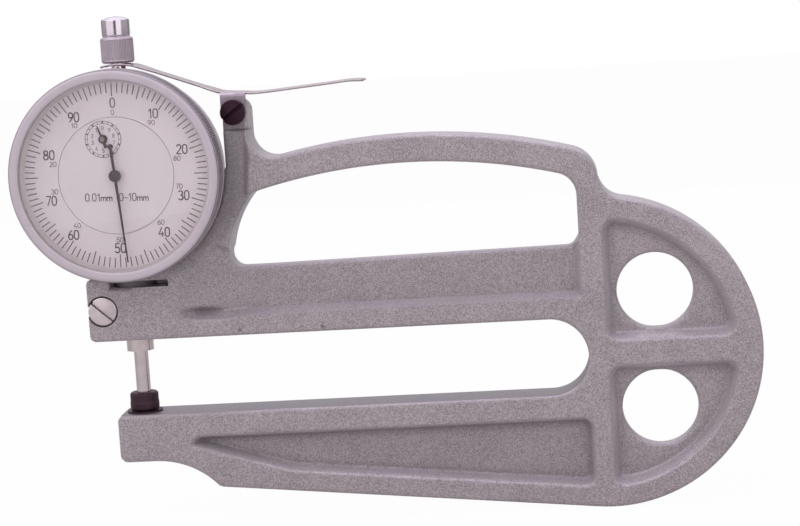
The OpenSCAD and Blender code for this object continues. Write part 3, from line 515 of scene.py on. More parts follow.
class Figures:
    """Single-stroke figures of unit height, as engraved scales have them."""

    def __init__(self, wide: float = 1.06) -> None:
        """Draws each sign as lines of points, with the step to the next, stretched to a width.

        Args:
            wide: width as a share of the plain signs'.
        """
        curl = [[0.03, 0.36], [0.08, 0.55], [0.2, 0.8], [0.38, 1.0]]
        two = [oval((0.24, 0.74), 0.23, 0.26, 165, -28), [[0.0, 0.0], [0.48, 0.0]]]
        three = [
            oval((0.22, 0.755), 0.21, 0.245, 150, -85),
            oval((0.22, 0.265), 0.25, 0.265, 85, -150),
        ]
        flag = [[0.45, 1.0], [0.08, 1.0], [0.05, 0.52]]
        five = [flag, oval((0.22, 0.31), 0.25, 0.31, 120, -150)]
        six = [oval((0.25, 0.29), 0.23, 0.29, 0, 360), curl]
        eight = [oval((0.25, 0.76), 0.2, 0.24, 0, 360), oval((0.25, 0.26), 0.24, 0.26, 0, 360)]
        arches = [[[0.0, 0.0], [0.0, 0.52]]]
        arches += [oval((x + 0.155, 0.36), 0.155, 0.16, 180, 0) for x in (0.0, 0.31)]
        arches += [[[x, 0.36], [x, 0.0]] for x in (0.31, 0.62)]
        strokes = {
            "0": ([oval((0.25, 0.5), 0.24, 0.5, 0, 360, 2.6)], 0.64),
            "1": ([[[0.04, 0.76], [0.25, 1.0], [0.25, 0.0]]], 0.48),
            "2": ([np.vstack(two)], 0.62),
            "3": (three, 0.62),
            "4": ([[[0.3, 1.0], [0.0, 0.28], [0.5, 0.28]], [[0.37, 0.5], [0.37, 0.0]]], 0.64),
            "5": ([np.vstack(five)], 0.62),
            "6": (six, 0.62),
            "7": ([[[0.0, 1.0], [0.48, 1.0], [0.16, 0.0]]], 0.6),
            "8": (eight, 0.64),
            "9": ([0.5 * np.array([1, 2]) - np.array(line) for line in six], 0.62),
            ".": ([[[0.04, 0.02], [0.08, 0.02]]], 0.26),
            "-": ([[[0.04, 0.42], [0.4, 0.42]]], 0.54),
            "m": (arches, 0.78),
        }
        stretch = [wide, 1.0]
        self.lines = {k: [np.array(line) * stretch for line in v] for k, (v, _) in strokes.items()}
        self.step = {sign: wide * step for sign, (_, step) in strokes.items()}

    def write(
        self,
        words: str,
        height: float,
        centre: Point,
        y: float,
        thick: float,
        lean_deg: float,
        weight: float,
    ) -> Shape:
        """Plain figures facing the reader.

        Args:
            words: what is printed.
            height: height of a figure.
            centre: middle in X and Z.
            y: the print's back in Y.
            thick: thickness towards the reader.
            lean_deg: clockwise turn about the middle.
            weight: stroke width as a share of the height.

        Returns:
            One slab for each short piece of a stroke.
        """
        x, gap, ends = 0.0, 0.13, []
        for sign in words:
            for line in self.lines[sign]:
                moved = line + [x, 0.0]
                ends.append(table(moved[:-1], moved[1:]))
            x += self.step[sign]
        a = np.radians(-lean_deg)
        spin = np.array([[np.cos(a), np.sin(a)], [-np.sin(a), np.cos(a)]])
        pieces = (np.vstack(ends) - [(x - gap) / 2, 0.5]) * height @ spin + np.array(centre)
        way = pieces[:, 1] - pieces[:, 0]
        length = np.linalg.norm(way, axis=1)
        half = np.full(len(length), weight * height / 2)
        along = way / np.maximum(length, 1e-9)[:, None]
        return slabs(pieces.mean(axis=1), along, length / 2 + 0.5 * half, half, y, thick)


def arc(centre: Point, radius: float, start: float, end: float, steps: int = 24) -> Array:
    """Points along an arc between two angles in degrees."""
    a = np.radians(np.linspace(start, end, steps + 1))
    return np.array(centre) + radius * table(np.cos(a), np.sin(a))


def heading(a: Point, b: Point) -> float:
    """Direction from a to b, in degrees."""
    return float(np.degrees(np.arctan2(b[1] - a[1], b[0] - a[0])))


# Finishes


class Nodes:
    """Short hand for building one shader tree."""

    def __init__(self, tree: Tree) -> None:
        """Keeps the tree that nodes are added to."""
        self.tree = tree

    def feed(self, node: Node, inputs: Inputs) -> None:
        """Fills sockets, by name or number, with values or with other nodes' outputs.

        Args:
            node: the node whose sockets are fed.
            inputs: socket name or number to a value or an output.
        """
        for name, value in inputs.items():
            if isinstance(value, Socket):
                self.tree.links.new(value, node.inputs[name])
            else:
                node.inputs[name].default_value = value

    def add(self, kind: str, inputs: Inputs | None = None, **settings: object) -> Node:
        """Adds a node.

        Args:
            kind: the node's type without its ShaderNode prefix.
            inputs: what its sockets are fed.
            settings: the node's own properties.

        Returns:
            The node.
        """
        node = self.tree.nodes.new("ShaderNode" + kind)
        for name, value in settings.items():
            setattr(node, name, value)
        self.feed(node, inputs or {})
        return node

    def math(self, operation: str, *values: object) -> Socket:
        """A Math node's result."""
        return self.add("Math", dict(enumerate(values)), operation=operation).outputs[0]

    def vector(self, operation: str, *values: object) -> Node:
        """A Vector Math node."""
        return self.add("VectorMath", dict(enumerate(values)), operation=operation)

    def noise(self, place: Socket, scale: object, detail: float, **inputs: object) -> Socket:
        """Noise over a place."""
        fed = {"Vector": place, "Scale": scale, "Detail": detail, **inputs}
        return self.add("TexNoise", fed).outputs[0]

    def ramp(self, value: Socket, low: float, high: float) -> Socket:
        """Stretches a value from low..high to 0..1, level at both ends."""
        inputs = {"Value": value, "From Min": low, "From Max": high}
        return self.add("MapRange", inputs, interpolation_type="SMOOTHSTEP").outputs[0]

    def blend(self, mask: Socket, a: object, b: object) -> Socket:
        """Colour a where the mask is 0 and colour b where it is 1."""
        return self.add("Mix", {"Factor": mask, 6: a, 7: b}, data_type="RGBA").outputs[2]

    def bump(self, height: Socket, strength: float, depth: float) -> Socket:
        """Normals tilted by a height, with its depth in metres."""
        inputs = {"Height": height, "Strength": strength, "Distance": depth}
        return self.add("Bump", inputs).outputs[0]

    def speckle(self, grain: float, drift: float) -> Node:
        """The shared mottling."""
        inputs = {"Grain": grain, "Drift": drift}
        return self.add("Group", inputs, node_tree=speckle_group())

    def groove(self) -> Socket:
        """The stored share of painted shade at a point: depth in a knurl, or shade in the casting's
        hollows.
        """
        return self.add("Attribute", attribute_name=SHADE_ATTRIBUTE).outputs["Fac"]

    def seen(self) -> Socket:
        """1 for what the camera sees straight or through glass."""
        rays = self.add("LightPath").outputs
        return self.math("MAXIMUM", rays["Is Camera Ray"], rays["Is Transmission Ray"])

    def mixed(self, share: Socket, a: Node, b: Node) -> Node:
        """Shader a where the share is 0 and shader b where it is 1."""
        return self.add("MixShader", {0: share, 1: a.outputs[0], 2: b.outputs[0]})

    def show(self, shader: Node, output: str = "Material Output") -> None:
        """Makes a shader the one that is put out."""
        self.feed(self.tree.nodes[output], {"Surface": shader.outputs[0]})


def new_group(
    name: str, inputs: dict[str, object], outputs: Sequence[str]
) -> tuple[Nodes, Node, Node]:
    """Starts a shader node group.

    Args:
        name: the group's name.
        inputs: socket name to default, a number or a triple.
        outputs: names of the value sockets put out.

    Returns:
        The group's tree, its input node and its output node.
    """
    tree = bpy.data.node_groups.new(name, "ShaderNodeTree")
    for label, value in inputs.items():
        kind = "NodeSocketFloat" if isinstance(value, float) else "NodeSocketVector"
        tree.interface.new_socket(label, in_out="INPUT", socket_type=kind).default_value = value
    for label in outputs:
        tree.interface.new_socket(label, in_out="OUTPUT", socket_type="NodeSocketFloat")
    return Nodes(tree), tree.nodes.new("NodeGroupInput"), tree.nodes.new("NodeGroupOutput")


@cache
def speckle_group() -> Tree:
    """Mottling: fine and coarser noise with a slow drift as a mask, the fine one as a height."""
    inputs = {"Grain": 2000.0, "Drift": 120.0}
    n, given, result = new_group("speckle", inputs, ["Mask", "Height"])
    place, grain = n.add("TexCoord").outputs["Object"], given.outputs["Grain"]
    fine = n.noise(place, grain, 2.0, Roughness=0.6)
    coarse = n.noise(place, n.math("MULTIPLY", grain, 0.4), 1.0)
    slow = n.noise(place, given.outputs["Drift"], 2.0)
    both = n.math("MULTIPLY_ADD", fine, 0.78, n.math("MULTIPLY", coarse, 0.12))
    total = n.math("MULTIPLY_ADD", slow, 0.1, both)
    n.feed(result, {"Mask": n.ramp(total, 0.35, 0.65), "Height": fine})
    return n.tree


@cache
def turning_group() -> Tree:
    """Turning marks: noise of the distance from an axis plus the distance along it.

    The marks run round the axis on the ends and on the sides alike.
    """
    vectors = {"Centre": (0.0, 0.0, 0.0), "Across": (1.0, 0.0, 1.0), "Along": (0.0, 1.0, 0.0)}
    n, given, result = new_group("turning_marks", {**vectors, "Marks": 6000.0}, ["Mark", "Stain"])
    place = n.add("TexCoord").outputs["Object"]
    off = n.vector("SUBTRACT", place, given.outputs["Centre"]).outputs[0]
    across = n.vector("MULTIPLY", off, given.outputs["Across"]).outputs[0]
    radius = n.vector("LENGTH", across).outputs["Value"]
    height = n.vector("DOT_PRODUCT", off, given.outputs["Along"]).outputs["Value"]
    path = n.math("MULTIPLY", n.math("ADD", radius, height), given.outputs["Marks"])
    line = {"W": path, "Scale": 1.0, "Detail": 2.0}
    marks = n.add("TexNoise", line, noise_dimensions="1D").outputs[0]
    stain = n.noise(place, 260.0, 3.0)
    n.feed(result, {"Mark": n.ramp(marks, 0.3, 0.7), "Stain": n.ramp(stain, 0.35, 0.7)})
    return n.tree


def start_material(name: str) -> tuple[Material, Nodes, Node]:
    """A material with its tree and its Principled shader.

    Args:
        name: the material's name.

    Returns:
        The material, its tree and its shader.
    """
    material = bpy.data.materials.new(name)
    material.use_nodes = True
    return material, Nodes(material.node_tree), material.node_tree.nodes["Principled BSDF"]


def opaque(colour: Sequence[float], share: float = 1.0) -> tuple[float, float, float, float]:
    """A share of a colour, with full alpha."""
    return (*(share * c for c in colour), 1.0)


@dataclass(frozen=True)
class Finish:
    """What the opaque finishes have in common.

    Args:
        name: the material's name.
        colour: main colour.
        other: colour of its stains, grain or hollows.
    """

    name: str
    colour: Triple
    other: Triple

    def inputs(self, n: Nodes) -> Inputs:
        """What the Principled shader is fed, from nodes added to its tree."""
        raise NotImplementedError

    def material(self) -> Material:
        """Builds the material."""
        made, n, shader = start_material(self.name)
        n.feed(shader, self.inputs(n))
        return made


@dataclass(frozen=True)
class Hammertone(Finish):
    """Grey paint that dries in fine dimples over a cast surface.

    Args:
        worn: painted highlight colour for steep walls, most of all those that face up.
        worn_from: where along the bow the upward slopes start to get it, in millimetres.
        grain: dimples per metre.
    """

    worn: Triple
    worn_from: float = 20.0
    grain: float = 3600.0

    def inputs(self, n: Nodes) -> Inputs:
        """Speckle colours it, dimples raise it; walls get painted highlight, hollows painted shade.

        Args:
            n: the material's tree.

        Returns:
            Socket name to what it is fed.
        """
        speckle = n.speckle(self.grain, 90.0).outputs
        mask, place = speckle["Mask"], n.add("TexCoord").outputs["Object"]
        cells = {"Vector": place, "Scale": 0.5 * self.grain}
        dimple = n.add("TexVoronoi", cells, feature="SMOOTH_F1").outputs["Distance"]
        pits = n.add("TexVoronoi", {"Vector": place, "Scale": 70.0}).outputs["Distance"]
        facing = n.add("SeparateXYZ", {0: n.add("TexCoord").outputs["Normal"]}).outputs
        along = n.add("SeparateXYZ", {0: place}).outputs["X"]
        # Painted highlight: slopes that face up, from a point along the bow on, and all steep walls
        # are lightened towards a pale colour
        past = n.ramp(along, self.worn_from * MM, 2 * self.worn_from * MM)
        up = n.math("MULTIPLY", n.ramp(facing["Z"], 0.3, 0.9), past)
        steep = n.math("MULTIPLY", n.ramp(n.math("ABSOLUTE", facing["Y"]), 0.9, 0.3), 0.3)
        share = n.math("MULTIPLY_ADD", mask, 0.5, 0.2)
        lit_share = n.math("MAXIMUM", n.math("MULTIPLY", share, up), steep)
        tint = n.blend(mask, opaque(self.other), opaque(self.colour))
        tint = n.blend(lit_share, tint, opaque(self.worn))
        # Painted shade: the stored share darkens the colour in the casting's hollows
        tint = n.blend(n.groove(), tint, opaque(self.other, 0.2))
        pit = n.math("MULTIPLY", n.ramp(pits, 0.05, 0.015), 0.7)
        height = n.math("ADD", n.math("MULTIPLY", dimple, 0.6), speckle["Height"])
        return {
            "Base Color": n.blend(pit, tint, opaque(self.other, 0.45)),
            "Roughness": n.math("MULTIPLY_ADD", mask, -0.12, 0.46),
            "Metallic": 0.12,
            "Normal": n.bump(height, 0.5, 0.00014),
        }


@dataclass(frozen=True)
class TurnedMetal(Finish):
    """Bright or blackened metal with marks round its axis and faint stains.

    Args:
        rough: roughness between marks.
        spread: how much rougher a mark is.
        metallic: 1 for bare metal.
        axis: direction of the turning axis.
        centre: a point on the axis, in millimetres.
        groove: strength of the painted shade in the bottom of a knurl.
        edge: tint of the reflection at a low angle.
    """

    rough: float
    spread: float
    metallic: float = 1.0
    axis: Turn = Turn.UP
    centre: Triple = ORIGIN
    groove: float = 0.0
    edge: Triple = (1.0, 1.0, 1.0)

    def inputs(self, n: Nodes) -> Inputs:
        """Turning marks change the gloss, stains change the colour.

        Args:
            n: the material's tree.

        Returns:
            Socket name to what it is fed.
        """
        inputs: Inputs = {"Centre": [c * MM for c in self.centre]}
        if self.axis is Turn.UP:
            inputs |= {"Across": (1.0, 1.0, 0.0), "Along": (0.0, 0.0, 1.0)}
        turning = n.add("Group", inputs, node_tree=turning_group()).outputs
        tint = n.blend(turning["Stain"], opaque(self.colour), opaque(self.other))
        # Painted shade: the knurl's bottoms are darkened by their stored depth
        if self.groove:
            low = n.math("MULTIPLY", n.groove(), self.groove)
            tint = n.blend(low, tint, opaque(self.colour, 0.1))
        return {
            "Base Color": tint,
            "Roughness": n.math("MULTIPLY_ADD", turning["Mark"], self.spread, self.rough),
            "Metallic": self.metallic,
            "Specular Tint": opaque(self.edge),
            "Normal": n.bump(turning["Mark"], 0.08, 0.00003),
        }


@dataclass(frozen=True)
class RolledMetal(Finish):
    """Strip or sheet metal with fine grain along X.

    Args:
        rough: roughness between grain lines.
        metallic: 1 for bare metal.
        stretch: grain lines per metre along X, Y and Z.
    """

    rough: float
    metallic: float = 1.0
    stretch: Triple = (40.0, 5000.0, 5000.0)

    def inputs(self, n: Nodes) -> Inputs:
        """Long noise makes the grain, speckle the dull patches.

        Args:
            n: the material's tree.

        Returns:
            Socket name to what it is fed.
        """
        mask = n.speckle(900.0, 60.0).outputs["Mask"]
        place = n.add("TexCoord").outputs["Object"]
        lines = n.add("Mapping", {"Vector": place, "Scale": self.stretch}).outputs[0]
        grain = n.noise(lines, 1.0, 2.0)
        return {
            "Base Color": n.blend(mask, opaque(self.other), opaque(self.colour)),
            "Roughness": n.math("MULTIPLY_ADD", grain, 0.2, self.rough - 0.1),
            "Metallic": self.metallic,
            "Normal": n.bump(grain, 0.06, 0.00003),
        }


@dataclass(frozen=True)
class Painted(Finish):
    """Flat paint or ink with a fine grain, such as the dial's ground and its print.

    Args:
        rough: roughness.
        grain: grains per metre.
        metallic: share of metal flake.
        sheen: strength of the reflection, 0.5 for common paint.
    """

    rough: float
    grain: float
    metallic: float = 0.0
    sheen: float = 0.5

    def inputs(self, n: Nodes) -> Inputs:
        """The speckle alone gives colour and gloss.

        Args:
            n: the material's tree.

        Returns:
            Socket name to what it is fed.
        """
        mask = n.speckle(self.grain, 50.0).outputs["Mask"]
        return {
            "Base Color": n.blend(mask, opaque(self.other), opaque(self.colour)),
            "Roughness": n.math("MULTIPLY_ADD", mask, 0.1, self.rough - 0.05),
            "Metallic": self.metallic,
            "Specular IOR Level": self.sheen,
        }


@dataclass(frozen=True)
class ClearGlass:
    """Clear crystal that lets the lamps through to the dial.

    Args:
        name: the material's name.
        ior: bending power.
    """

    name: str
    ior: float = 1.3

    def material(self) -> Material:
        """Builds glass for sight and reflections, clear for shadow rays."""
        made, n, shader = start_material(self.name)
        n.feed(shader, {
            "Base Color": (0.97, 0.97, 0.98, 1.0),
            "Roughness": 0.02,
            "Transmission Weight": 1.0,
            "IOR": self.ior,
        })
        shadow = n.add("LightPath").outputs["Is Shadow Ray"]
        n.show(n.mixed(shadow, shader, n.add("BsdfTransparent")))
        return made


class Finishes:
    """Every finish on the gauge, by name."""

    def __init__(self) -> None:
        """Builds the materials."""
        front, dial = Turn.FRONT, DIAL_AXIS
        clamp, pivot = ((x, 0.0, z) for x, z in (CLAMP, PIVOT))
        list_of = [
            # The casting's paint carries a pale colour for its painted highlight on steep and
            # upward walls
            Hammertone("hammertone_grey", (0.415, 0.360, 0.380), (0.198, 0.171, 0.181),
                       worn=(0.66, 0.59, 0.655)),
            TurnedMetal("satin_bezel", (0.455, 0.398, 0.436), (0.435, 0.380, 0.417), rough=0.5,
                        spread=0.08, metallic=0.3, axis=front, centre=dial, groove=0.7),
            TurnedMetal("satin_case", (0.50, 0.45, 0.48), (0.44, 0.39, 0.42), rough=0.36,
                        spread=0.14, metallic=0.9, axis=front, centre=dial),
            TurnedMetal("polished_cap", (0.47, 0.42, 0.465), (0.42, 0.37, 0.415), rough=0.12,
                        spread=0.05),
            TurnedMetal("knurled_skirt", (0.44, 0.38, 0.42), (0.40, 0.34, 0.38), rough=0.42,
                        spread=0.1, metallic=0.8, groove=0.4),
            # Painted shade: the stem's bright steel is painted dark for the bezel's shadow over it
            TurnedMetal("shaded_stem", (0.13, 0.10, 0.11), (0.10, 0.08, 0.09), rough=0.55,
                        spread=0.1, metallic=0.2),
            TurnedMetal("ground_steel", (0.54, 0.47, 0.46), (0.48, 0.41, 0.41), rough=0.07,
                        spread=0.05),
            TurnedMetal("black_steel", (0.028, 0.012, 0.019), (0.040, 0.020, 0.029), rough=0.42,
                        spread=0.15, metallic=0.2, edge=(0.55, 0.42, 0.48)),
            TurnedMetal("nickel_screw", (0.53, 0.46, 0.47), (0.44, 0.38, 0.39), rough=0.28,
                        spread=0.14, axis=front, centre=clamp),
            TurnedMetal("black_screw", (0.014, 0.004, 0.009), (0.026, 0.010, 0.018), rough=0.46,
                        spread=0.12, metallic=0.1, axis=front, centre=pivot,
                        edge=(0.35, 0.22, 0.28)),
            RolledMetal("lever_strip", (0.36, 0.31, 0.32), (0.31, 0.26, 0.28), rough=0.38),
            # Painted shade: a darker, less metallic copy of the strip's metal for its tab that
            # turns down
            RolledMetal("lever_ear", (0.29, 0.24, 0.275), (0.25, 0.205, 0.24), rough=0.5,
                        metallic=0.5),
            Painted("dial_ground", (0.546, 0.470, 0.500), (0.525, 0.450, 0.481), rough=0.5,
                    grain=3000.0),
            Painted("rehaut", (0.50, 0.44, 0.445), (0.48, 0.42, 0.425), rough=0.6, grain=3000.0),
            Painted("machined_jaw", (0.200, 0.174, 0.194), (0.183, 0.160, 0.178), rough=0.45,
                    grain=700.0, metallic=0.2),
            Painted("dial_ink", (0.125, 0.088, 0.100), (0.098, 0.068, 0.080), rough=0.6,
                    grain=5000.0),
            Painted("hub_brown", (0.20, 0.14, 0.12), (0.15, 0.10, 0.09), rough=0.4, grain=2500.0),
            Painted("hand_black", (0.034, 0.019, 0.026), (0.050, 0.032, 0.040), rough=0.5,
                    grain=2500.0, sheen=0.15),
            TurnedMetal("movement_brass", (0.70, 0.52, 0.22), (0.55, 0.38, 0.14), rough=0.26,
                        spread=0.16, axis=front, centre=dial),
            TurnedMetal("movement_steel", (0.50, 0.49, 0.50), (0.40, 0.39, 0.41), rough=0.26,
                        spread=0.14),
            ClearGlass("crystal_clear"),
        ]
        self.made = {finish.name: finish.material() for finish in list_of}

    def dress(self, obj: Object, name: str) -> None:
        """Gives an object one finish in place of what it has."""
        obj.data.materials.clear()
        obj.data.materials.append(self.made[name])

    def zone(self, obj: Object, name: str, where: Callable[[Array], Array]) -> None:
        """Gives part of an object another finish.

        Args:
            obj: the object.
            name: the other finish.
            where: takes the faces' middles in millimetres and tells which of them get it.
        """
        middles = np.empty(3 * len(obj.data.polygons), np.float32)
        obj.data.polygons.foreach_get("center", middles)
        obj.data.materials.append(self.made[name])
        chosen = where(middles.reshape(-1, 3) / MM).astype(np.int32)
        obj.data.polygons.foreach_set("material_index", chosen)

    def settle(self, obj: Object, finish: str, body: str, slot: str, *nodes: str) -> Object:
        """Dresses a piece, rides it on its body and hides the CAD nodes that it replaces.

        Args:
            obj: the piece.
            finish: its finish.
            body: the CAD body that it moves with.
            slot: the record's material slot; not used.
            nodes: CAD nodes that it replaces.

        Returns:
            The piece.
        """
        self.dress(obj, finish)
        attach(obj, body)
        if nodes:
            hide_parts(*nodes)
        LOG.info("%s rides %s: %d faces", obj.name, body, len(obj.data.polygons))
        return obj


def vertices(obj: Object) -> Array:
    """An object's points, in millimetres.

    Args:
        obj: the object.

    Returns:
        n x 3 points.
    """
    points = np.empty(3 * len(obj.data.vertices), np.float32)
    obj.data.vertices.foreach_get("co", points)
    return points.reshape(-1, 3) / MM


def store_grooves(obj: Object, depth: Array) -> None:
    """Keeps a share from 0 to 1 at each point, which the finish darkens as painted shade."""
    stored = obj.data.attributes.new(SHADE_ATTRIBUTE, "FLOAT", "POINT")
    stored.data.foreach_set("value", depth.astype(np.float32))


def mark_knurl(obj: Object, centre: Triple, axis: Turn, outer: float, depth: float) -> None:
    """Stores how deep each point lies in a knurl, from 0 on the crests to 1, as its painted shade.

    Args:
        obj: the turned piece.
        centre: a point on its axis.
        axis: direction of the axis.
        outer: radius of the crests.
        depth: depth of the knurl.
    """
    off = vertices(obj) - np.array(centre)
    radius = np.hypot(off[:, 0], off[:, 1] if axis is Turn.UP else off[:, 2])
    low = np.clip((outer - radius) / depth, 0.0, 1.0) * (radius > outer - 1.3 * depth)
    store_grooves(obj, low)


# Sub-assemblies


@dataclass
class Casting:
    """The cast bow: two jaws, clamp head, post, handle and round end with sunk panels."""

    half_t: float = 6.5
    web: float = 4.8
    throat_depth: float = 120.0
    throat_gap: float = 20.2
    throat_open: float = 30.0
    jaw_top: float = -0.4
    end_r: float = 41.0
    end_past: float = 4.4
    end_lift: float = 0.4
    hole_r: float = 10.0
    hole_past: float = 18.1
    hole_gap: float = 31.0
    tip_reach: float = 6.5
    tip_h: float = 12.8
    tip_round: float = 2.0
    scoop_start: float = 3.0
    scoop_r: float = 22.6
    scoop_turn: float = 48.7
    head_reach: float = 12.2
    head_h: float = 17.0
    head_round: float = 1.5
    seat_h: float = 14.2
    seat_left: float = 5.8
    seat_right: float = 10.1
    stem_room: float = 5.6
    slot_h: float = 1.8
    slot_back: float = 0.5
    clamp_x: float = 8.2
    clamp_h: float = 8.2
    clamp_room_r: float = 4.2
    clamp_room_d: float = 2.9
    clamp_bore_r: float = 2.15
    stem_bore_r: float = 4.05
    anvil_seat_r: float = 4.77
    over_cut: float = 3.0
    split_w: float = 1.2
    crest_h: float = 70.2
    crest_r: float = 161.0
    crest_back: float = 4.0
    handle_w: float = 7.1
    shoulder_r: float = 8.5
    shoulder_past: float = 0.3
    shoulder_fillet: float = 7.0
    window_left_h: float = 37.7
    window_right_h: float = 38.6
    window_side_r: float = 29.0
    window_x: float = 26.5
    window_short: float = 1.0
    flange_h: float = 5.6
    rib_w: float = 6.5
    rib_gap: float = 0.3
    jaw_rib_w: float = 5.6
    jaw_past: float = 0.3
    jaw_start: float = 4.0
    jaw_foot: float = 12.0
    jaw_droop: float = 0.1
    end_rim_w: float = 5.6
    end_rib_x: float = 5.3
    end_pocket_back: float = 0.8
    jaw_wall: float = 6.4
    panel_lean: float = 20.0
    panel_ramp: float = 12.0
    panel_soft: float = 1.2
    draft: float = 1.1
    wall_w: float = 1.6
    end_wall_w: float = 2.2
    lead_r: float = 1.6
    lead_in: float = 4.0
    lead_rise: float = 1.25
    lead_d: float = 3.4
    lead_fade: float = 6.0
    relief_d: float = 1.0
    relief_ramp: float = 6.0
    relief_low: float = 6.0
    relief_high: float = 8.0
    relief_in: float = 0.7
    relief_bend: Span = (0.8, 14.0)
    relief_soft: float = 1.4
    flat_d: float = 1.5
    flat_drop: float = 4.9
    flat_half: float = 6.7
    flat_soft: float = 0.25
    dial_h: float = 64.6
    case_room_r: float = 27.0
    pivot_x: float = 30.8
    pivot_rise: float = 14.3
    post_r: float = 3.35
    post_fillet: float = 6.2
    corner_r: float = 3.5
    wide_corner_r: float = 6.0
    pocket_round: float = 3.0
    leaf_tip: Span = (12.0, -9.0)
    leaf_bend: Span = (36.0, -16.2)
    # Strengths of the painted shade: pockets of jaw and round end (floor, foot of wall), panel,
    # post, ledge, lead and ring round the case
    jaw_dirt: Span = (0.16, 0.23)
    end_dirt: Span = (0.04, 0.15)
    panel_dirt: float = 0.1
    post_dirt: float = 0.26
    ledge_dirt: float = 0.8
    lead_dirt: float = 0.42
    case_dirt: float = 0.3
    case_ring: float = 5.0
    rim: float = 0.9
    step: float = 0.48
    crease_deg: float = 62.0

    def __post_init__(self) -> None:
        """Works out the centres of the arcs that meet each other."""
        self.pocket_d = self.half_t - self.web / 2
        self.upper_z = self.jaw_top + self.throat_gap
        self.seat_z = self.upper_z + self.seat_h
        self.flange_z = self.upper_z + self.flange_h
        self.lead_z = self.flange_z + self.lead_rise
        self.window_right = self.throat_depth - self.window_short
        self.tip_z = self.jaw_top - self.tip_h
        throat_r = self.throat_gap / 2
        self.throat_c = np.array([self.throat_depth - throat_r, self.jaw_top + throat_r])
        self.end_c = np.array([self.throat_depth + self.end_past, self.throat_c[1] + self.end_lift])
        self.dial_c = np.array([0.0, self.dial_h])
        self.pivot = np.array([self.pivot_x, self.dial_h + self.pivot_rise])
        self.scoop_c = np.array([self.scoop_start, self.tip_z - self.scoop_r])
        turn = np.radians(self.scoop_turn)
        self.heel = self.scoop_c + self.scoop_r * np.array([np.sin(turn), np.cos(turn)])
        span = np.linalg.norm(self.end_c - self.heel)
        rise = float(np.degrees(np.arcsin(self.end_r / span)))
        self.heel_deg = heading(self.heel, self.end_c) - rise
        left, right = self.pivot_x + self.post_r, self.end_c[0] + self.shoulder_past
        middle = (left + right) / 2 - self.crest_back
        self.crest_c = np.array([middle, self.crest_h - self.crest_r])
        r, fillet, post = self.shoulder_r, self.shoulder_fillet, self.post_fillet
        self.shoulder_c = self.over(right - r, self.crest_c, self.crest_r - r)
        self.neck_c = self.over(right + fillet, self.end_c, self.end_r + fillet)
        self.hollow_c = self.over(left + post, self.crest_c, self.crest_r + post)
        self.step_z = self.pivot[1] - self.flat_drop

    @staticmethod
    def over(x: float, centre: Array, radius: float) -> Array:
        """Point at x that lies a radius from a centre, above it."""
        return np.array([x, centre[1] + np.sqrt(radius**2 - (x - centre[0]) ** 2)])

    def outline(self) -> Array:
        """Corners and arcs round the casting; the throat and the case's room are cut later."""
        tip, head = self.tip_round, self.head_round
        head_left, head_top = -self.head_reach + head, self.upper_z + self.head_h - head
        neck = heading(self.end_c, self.neck_c)
        shoulder = heading(self.crest_c, self.shoulder_c)
        hollow = heading(self.crest_c, self.hollow_c)
        return np.vstack([
            [[-self.tip_reach, self.jaw_top]],
            arc([-self.tip_reach + tip, self.tip_z + tip], tip, 180, 270, 6),
            arc(self.scoop_c, self.scoop_r, 90, 90 - self.scoop_turn),
            arc(self.end_c, self.end_r, self.heel_deg - 90, neck, 64),
            arc(self.neck_c, self.shoulder_fillet, neck + 180, 180),
            arc(self.shoulder_c, self.shoulder_r, 0, shoulder),
            arc(self.crest_c, self.crest_r, shoulder, hollow, 40),
            arc(self.hollow_c, self.post_fillet, hollow + 180, 180),
            arc(self.pivot, self.post_r, 0, 180),
            [[self.pivot_x - self.post_r, self.dial_h], self.dial_c],
            [[0.0, self.upper_z + self.head_h]],
            arc([head_left, head_top], head, 90, 180, 6),
            arc([head_left, self.upper_z + head], head, 180, 270, 6),
            [self.throat_c],
        ])

    def window(self) -> Array:
        """Arcs round the handle's window."""
        r, c, wide = self.crest_r - self.handle_w, self.corner_r, self.wide_corner_r
        side_c = np.array([self.window_x + self.window_side_r, self.window_left_h])
        reach = self.window_side_r - c
        low_left = np.array([side_c[0] - np.sqrt(reach**2 - c**2), self.window_left_h + c])
        low_right = np.array([self.window_right - c, self.window_right_h + c])
        high_right = self.over(self.window_right - wide, self.crest_c, r - wide)
        gap = float(np.linalg.norm(self.crest_c - side_c))
        unit = (self.crest_c - side_c) / gap
        along = (gap**2 + reach**2 - (r - c) ** 2) / (2 * gap)
        aside = np.sqrt(reach**2 - along**2) * np.array([unit[1], -unit[0]])
        high_left = side_c + unit * along + aside
        left = 180 + heading(low_left, side_c)
        right, top = heading(self.crest_c, high_right), heading(self.crest_c, high_left)
        return np.vstack([
            arc(low_left, c, left, 270, 10),
            arc(low_right, c, -90, 0, 10),
            arc(high_right, wide, 0, right, 10),
            arc(self.crest_c, r, right, top, 40),
            arc(high_left, c, top, heading(side_c, high_left), 10),
            arc(side_c, self.window_side_r, heading(side_c, high_left), left, 16),
        ])

    def holes(self) -> list[Array]:
        """Middles of the two holes in the round end."""
        x = self.throat_depth + self.hole_past
        return [np.array([x, self.end_c[1] + s * self.hole_gap / 2]) for s in (-1, 1)]

    def distance(self, p: Array) -> Array:
        """Signed distance to the casting's edge: the outline less its openings.

        Args:
            p: n x 2 points in X and Z.

        Returns:
            n distances.
        """
        low = [-self.throat_open, self.jaw_top]
        throat = np.minimum(
            circle_distance(p, self.throat_c, self.throat_gap / 2),
            box_distance(p, low, [self.throat_c[0], self.upper_z]),
        )
        seat = box_distance(p, [-self.seat_left, self.seat_z], [0.0, self.dial_h])
        case = circle_distance(p, self.dial_c, self.case_room_r)
        openings = [polygon_distance(p, self.window()), throat, seat, case]
        openings += [circle_distance(p, c, self.hole_r) for c in self.holes()]
        return np.maximum(polygon_distance(p, self.outline()), -np.min(openings, axis=0))

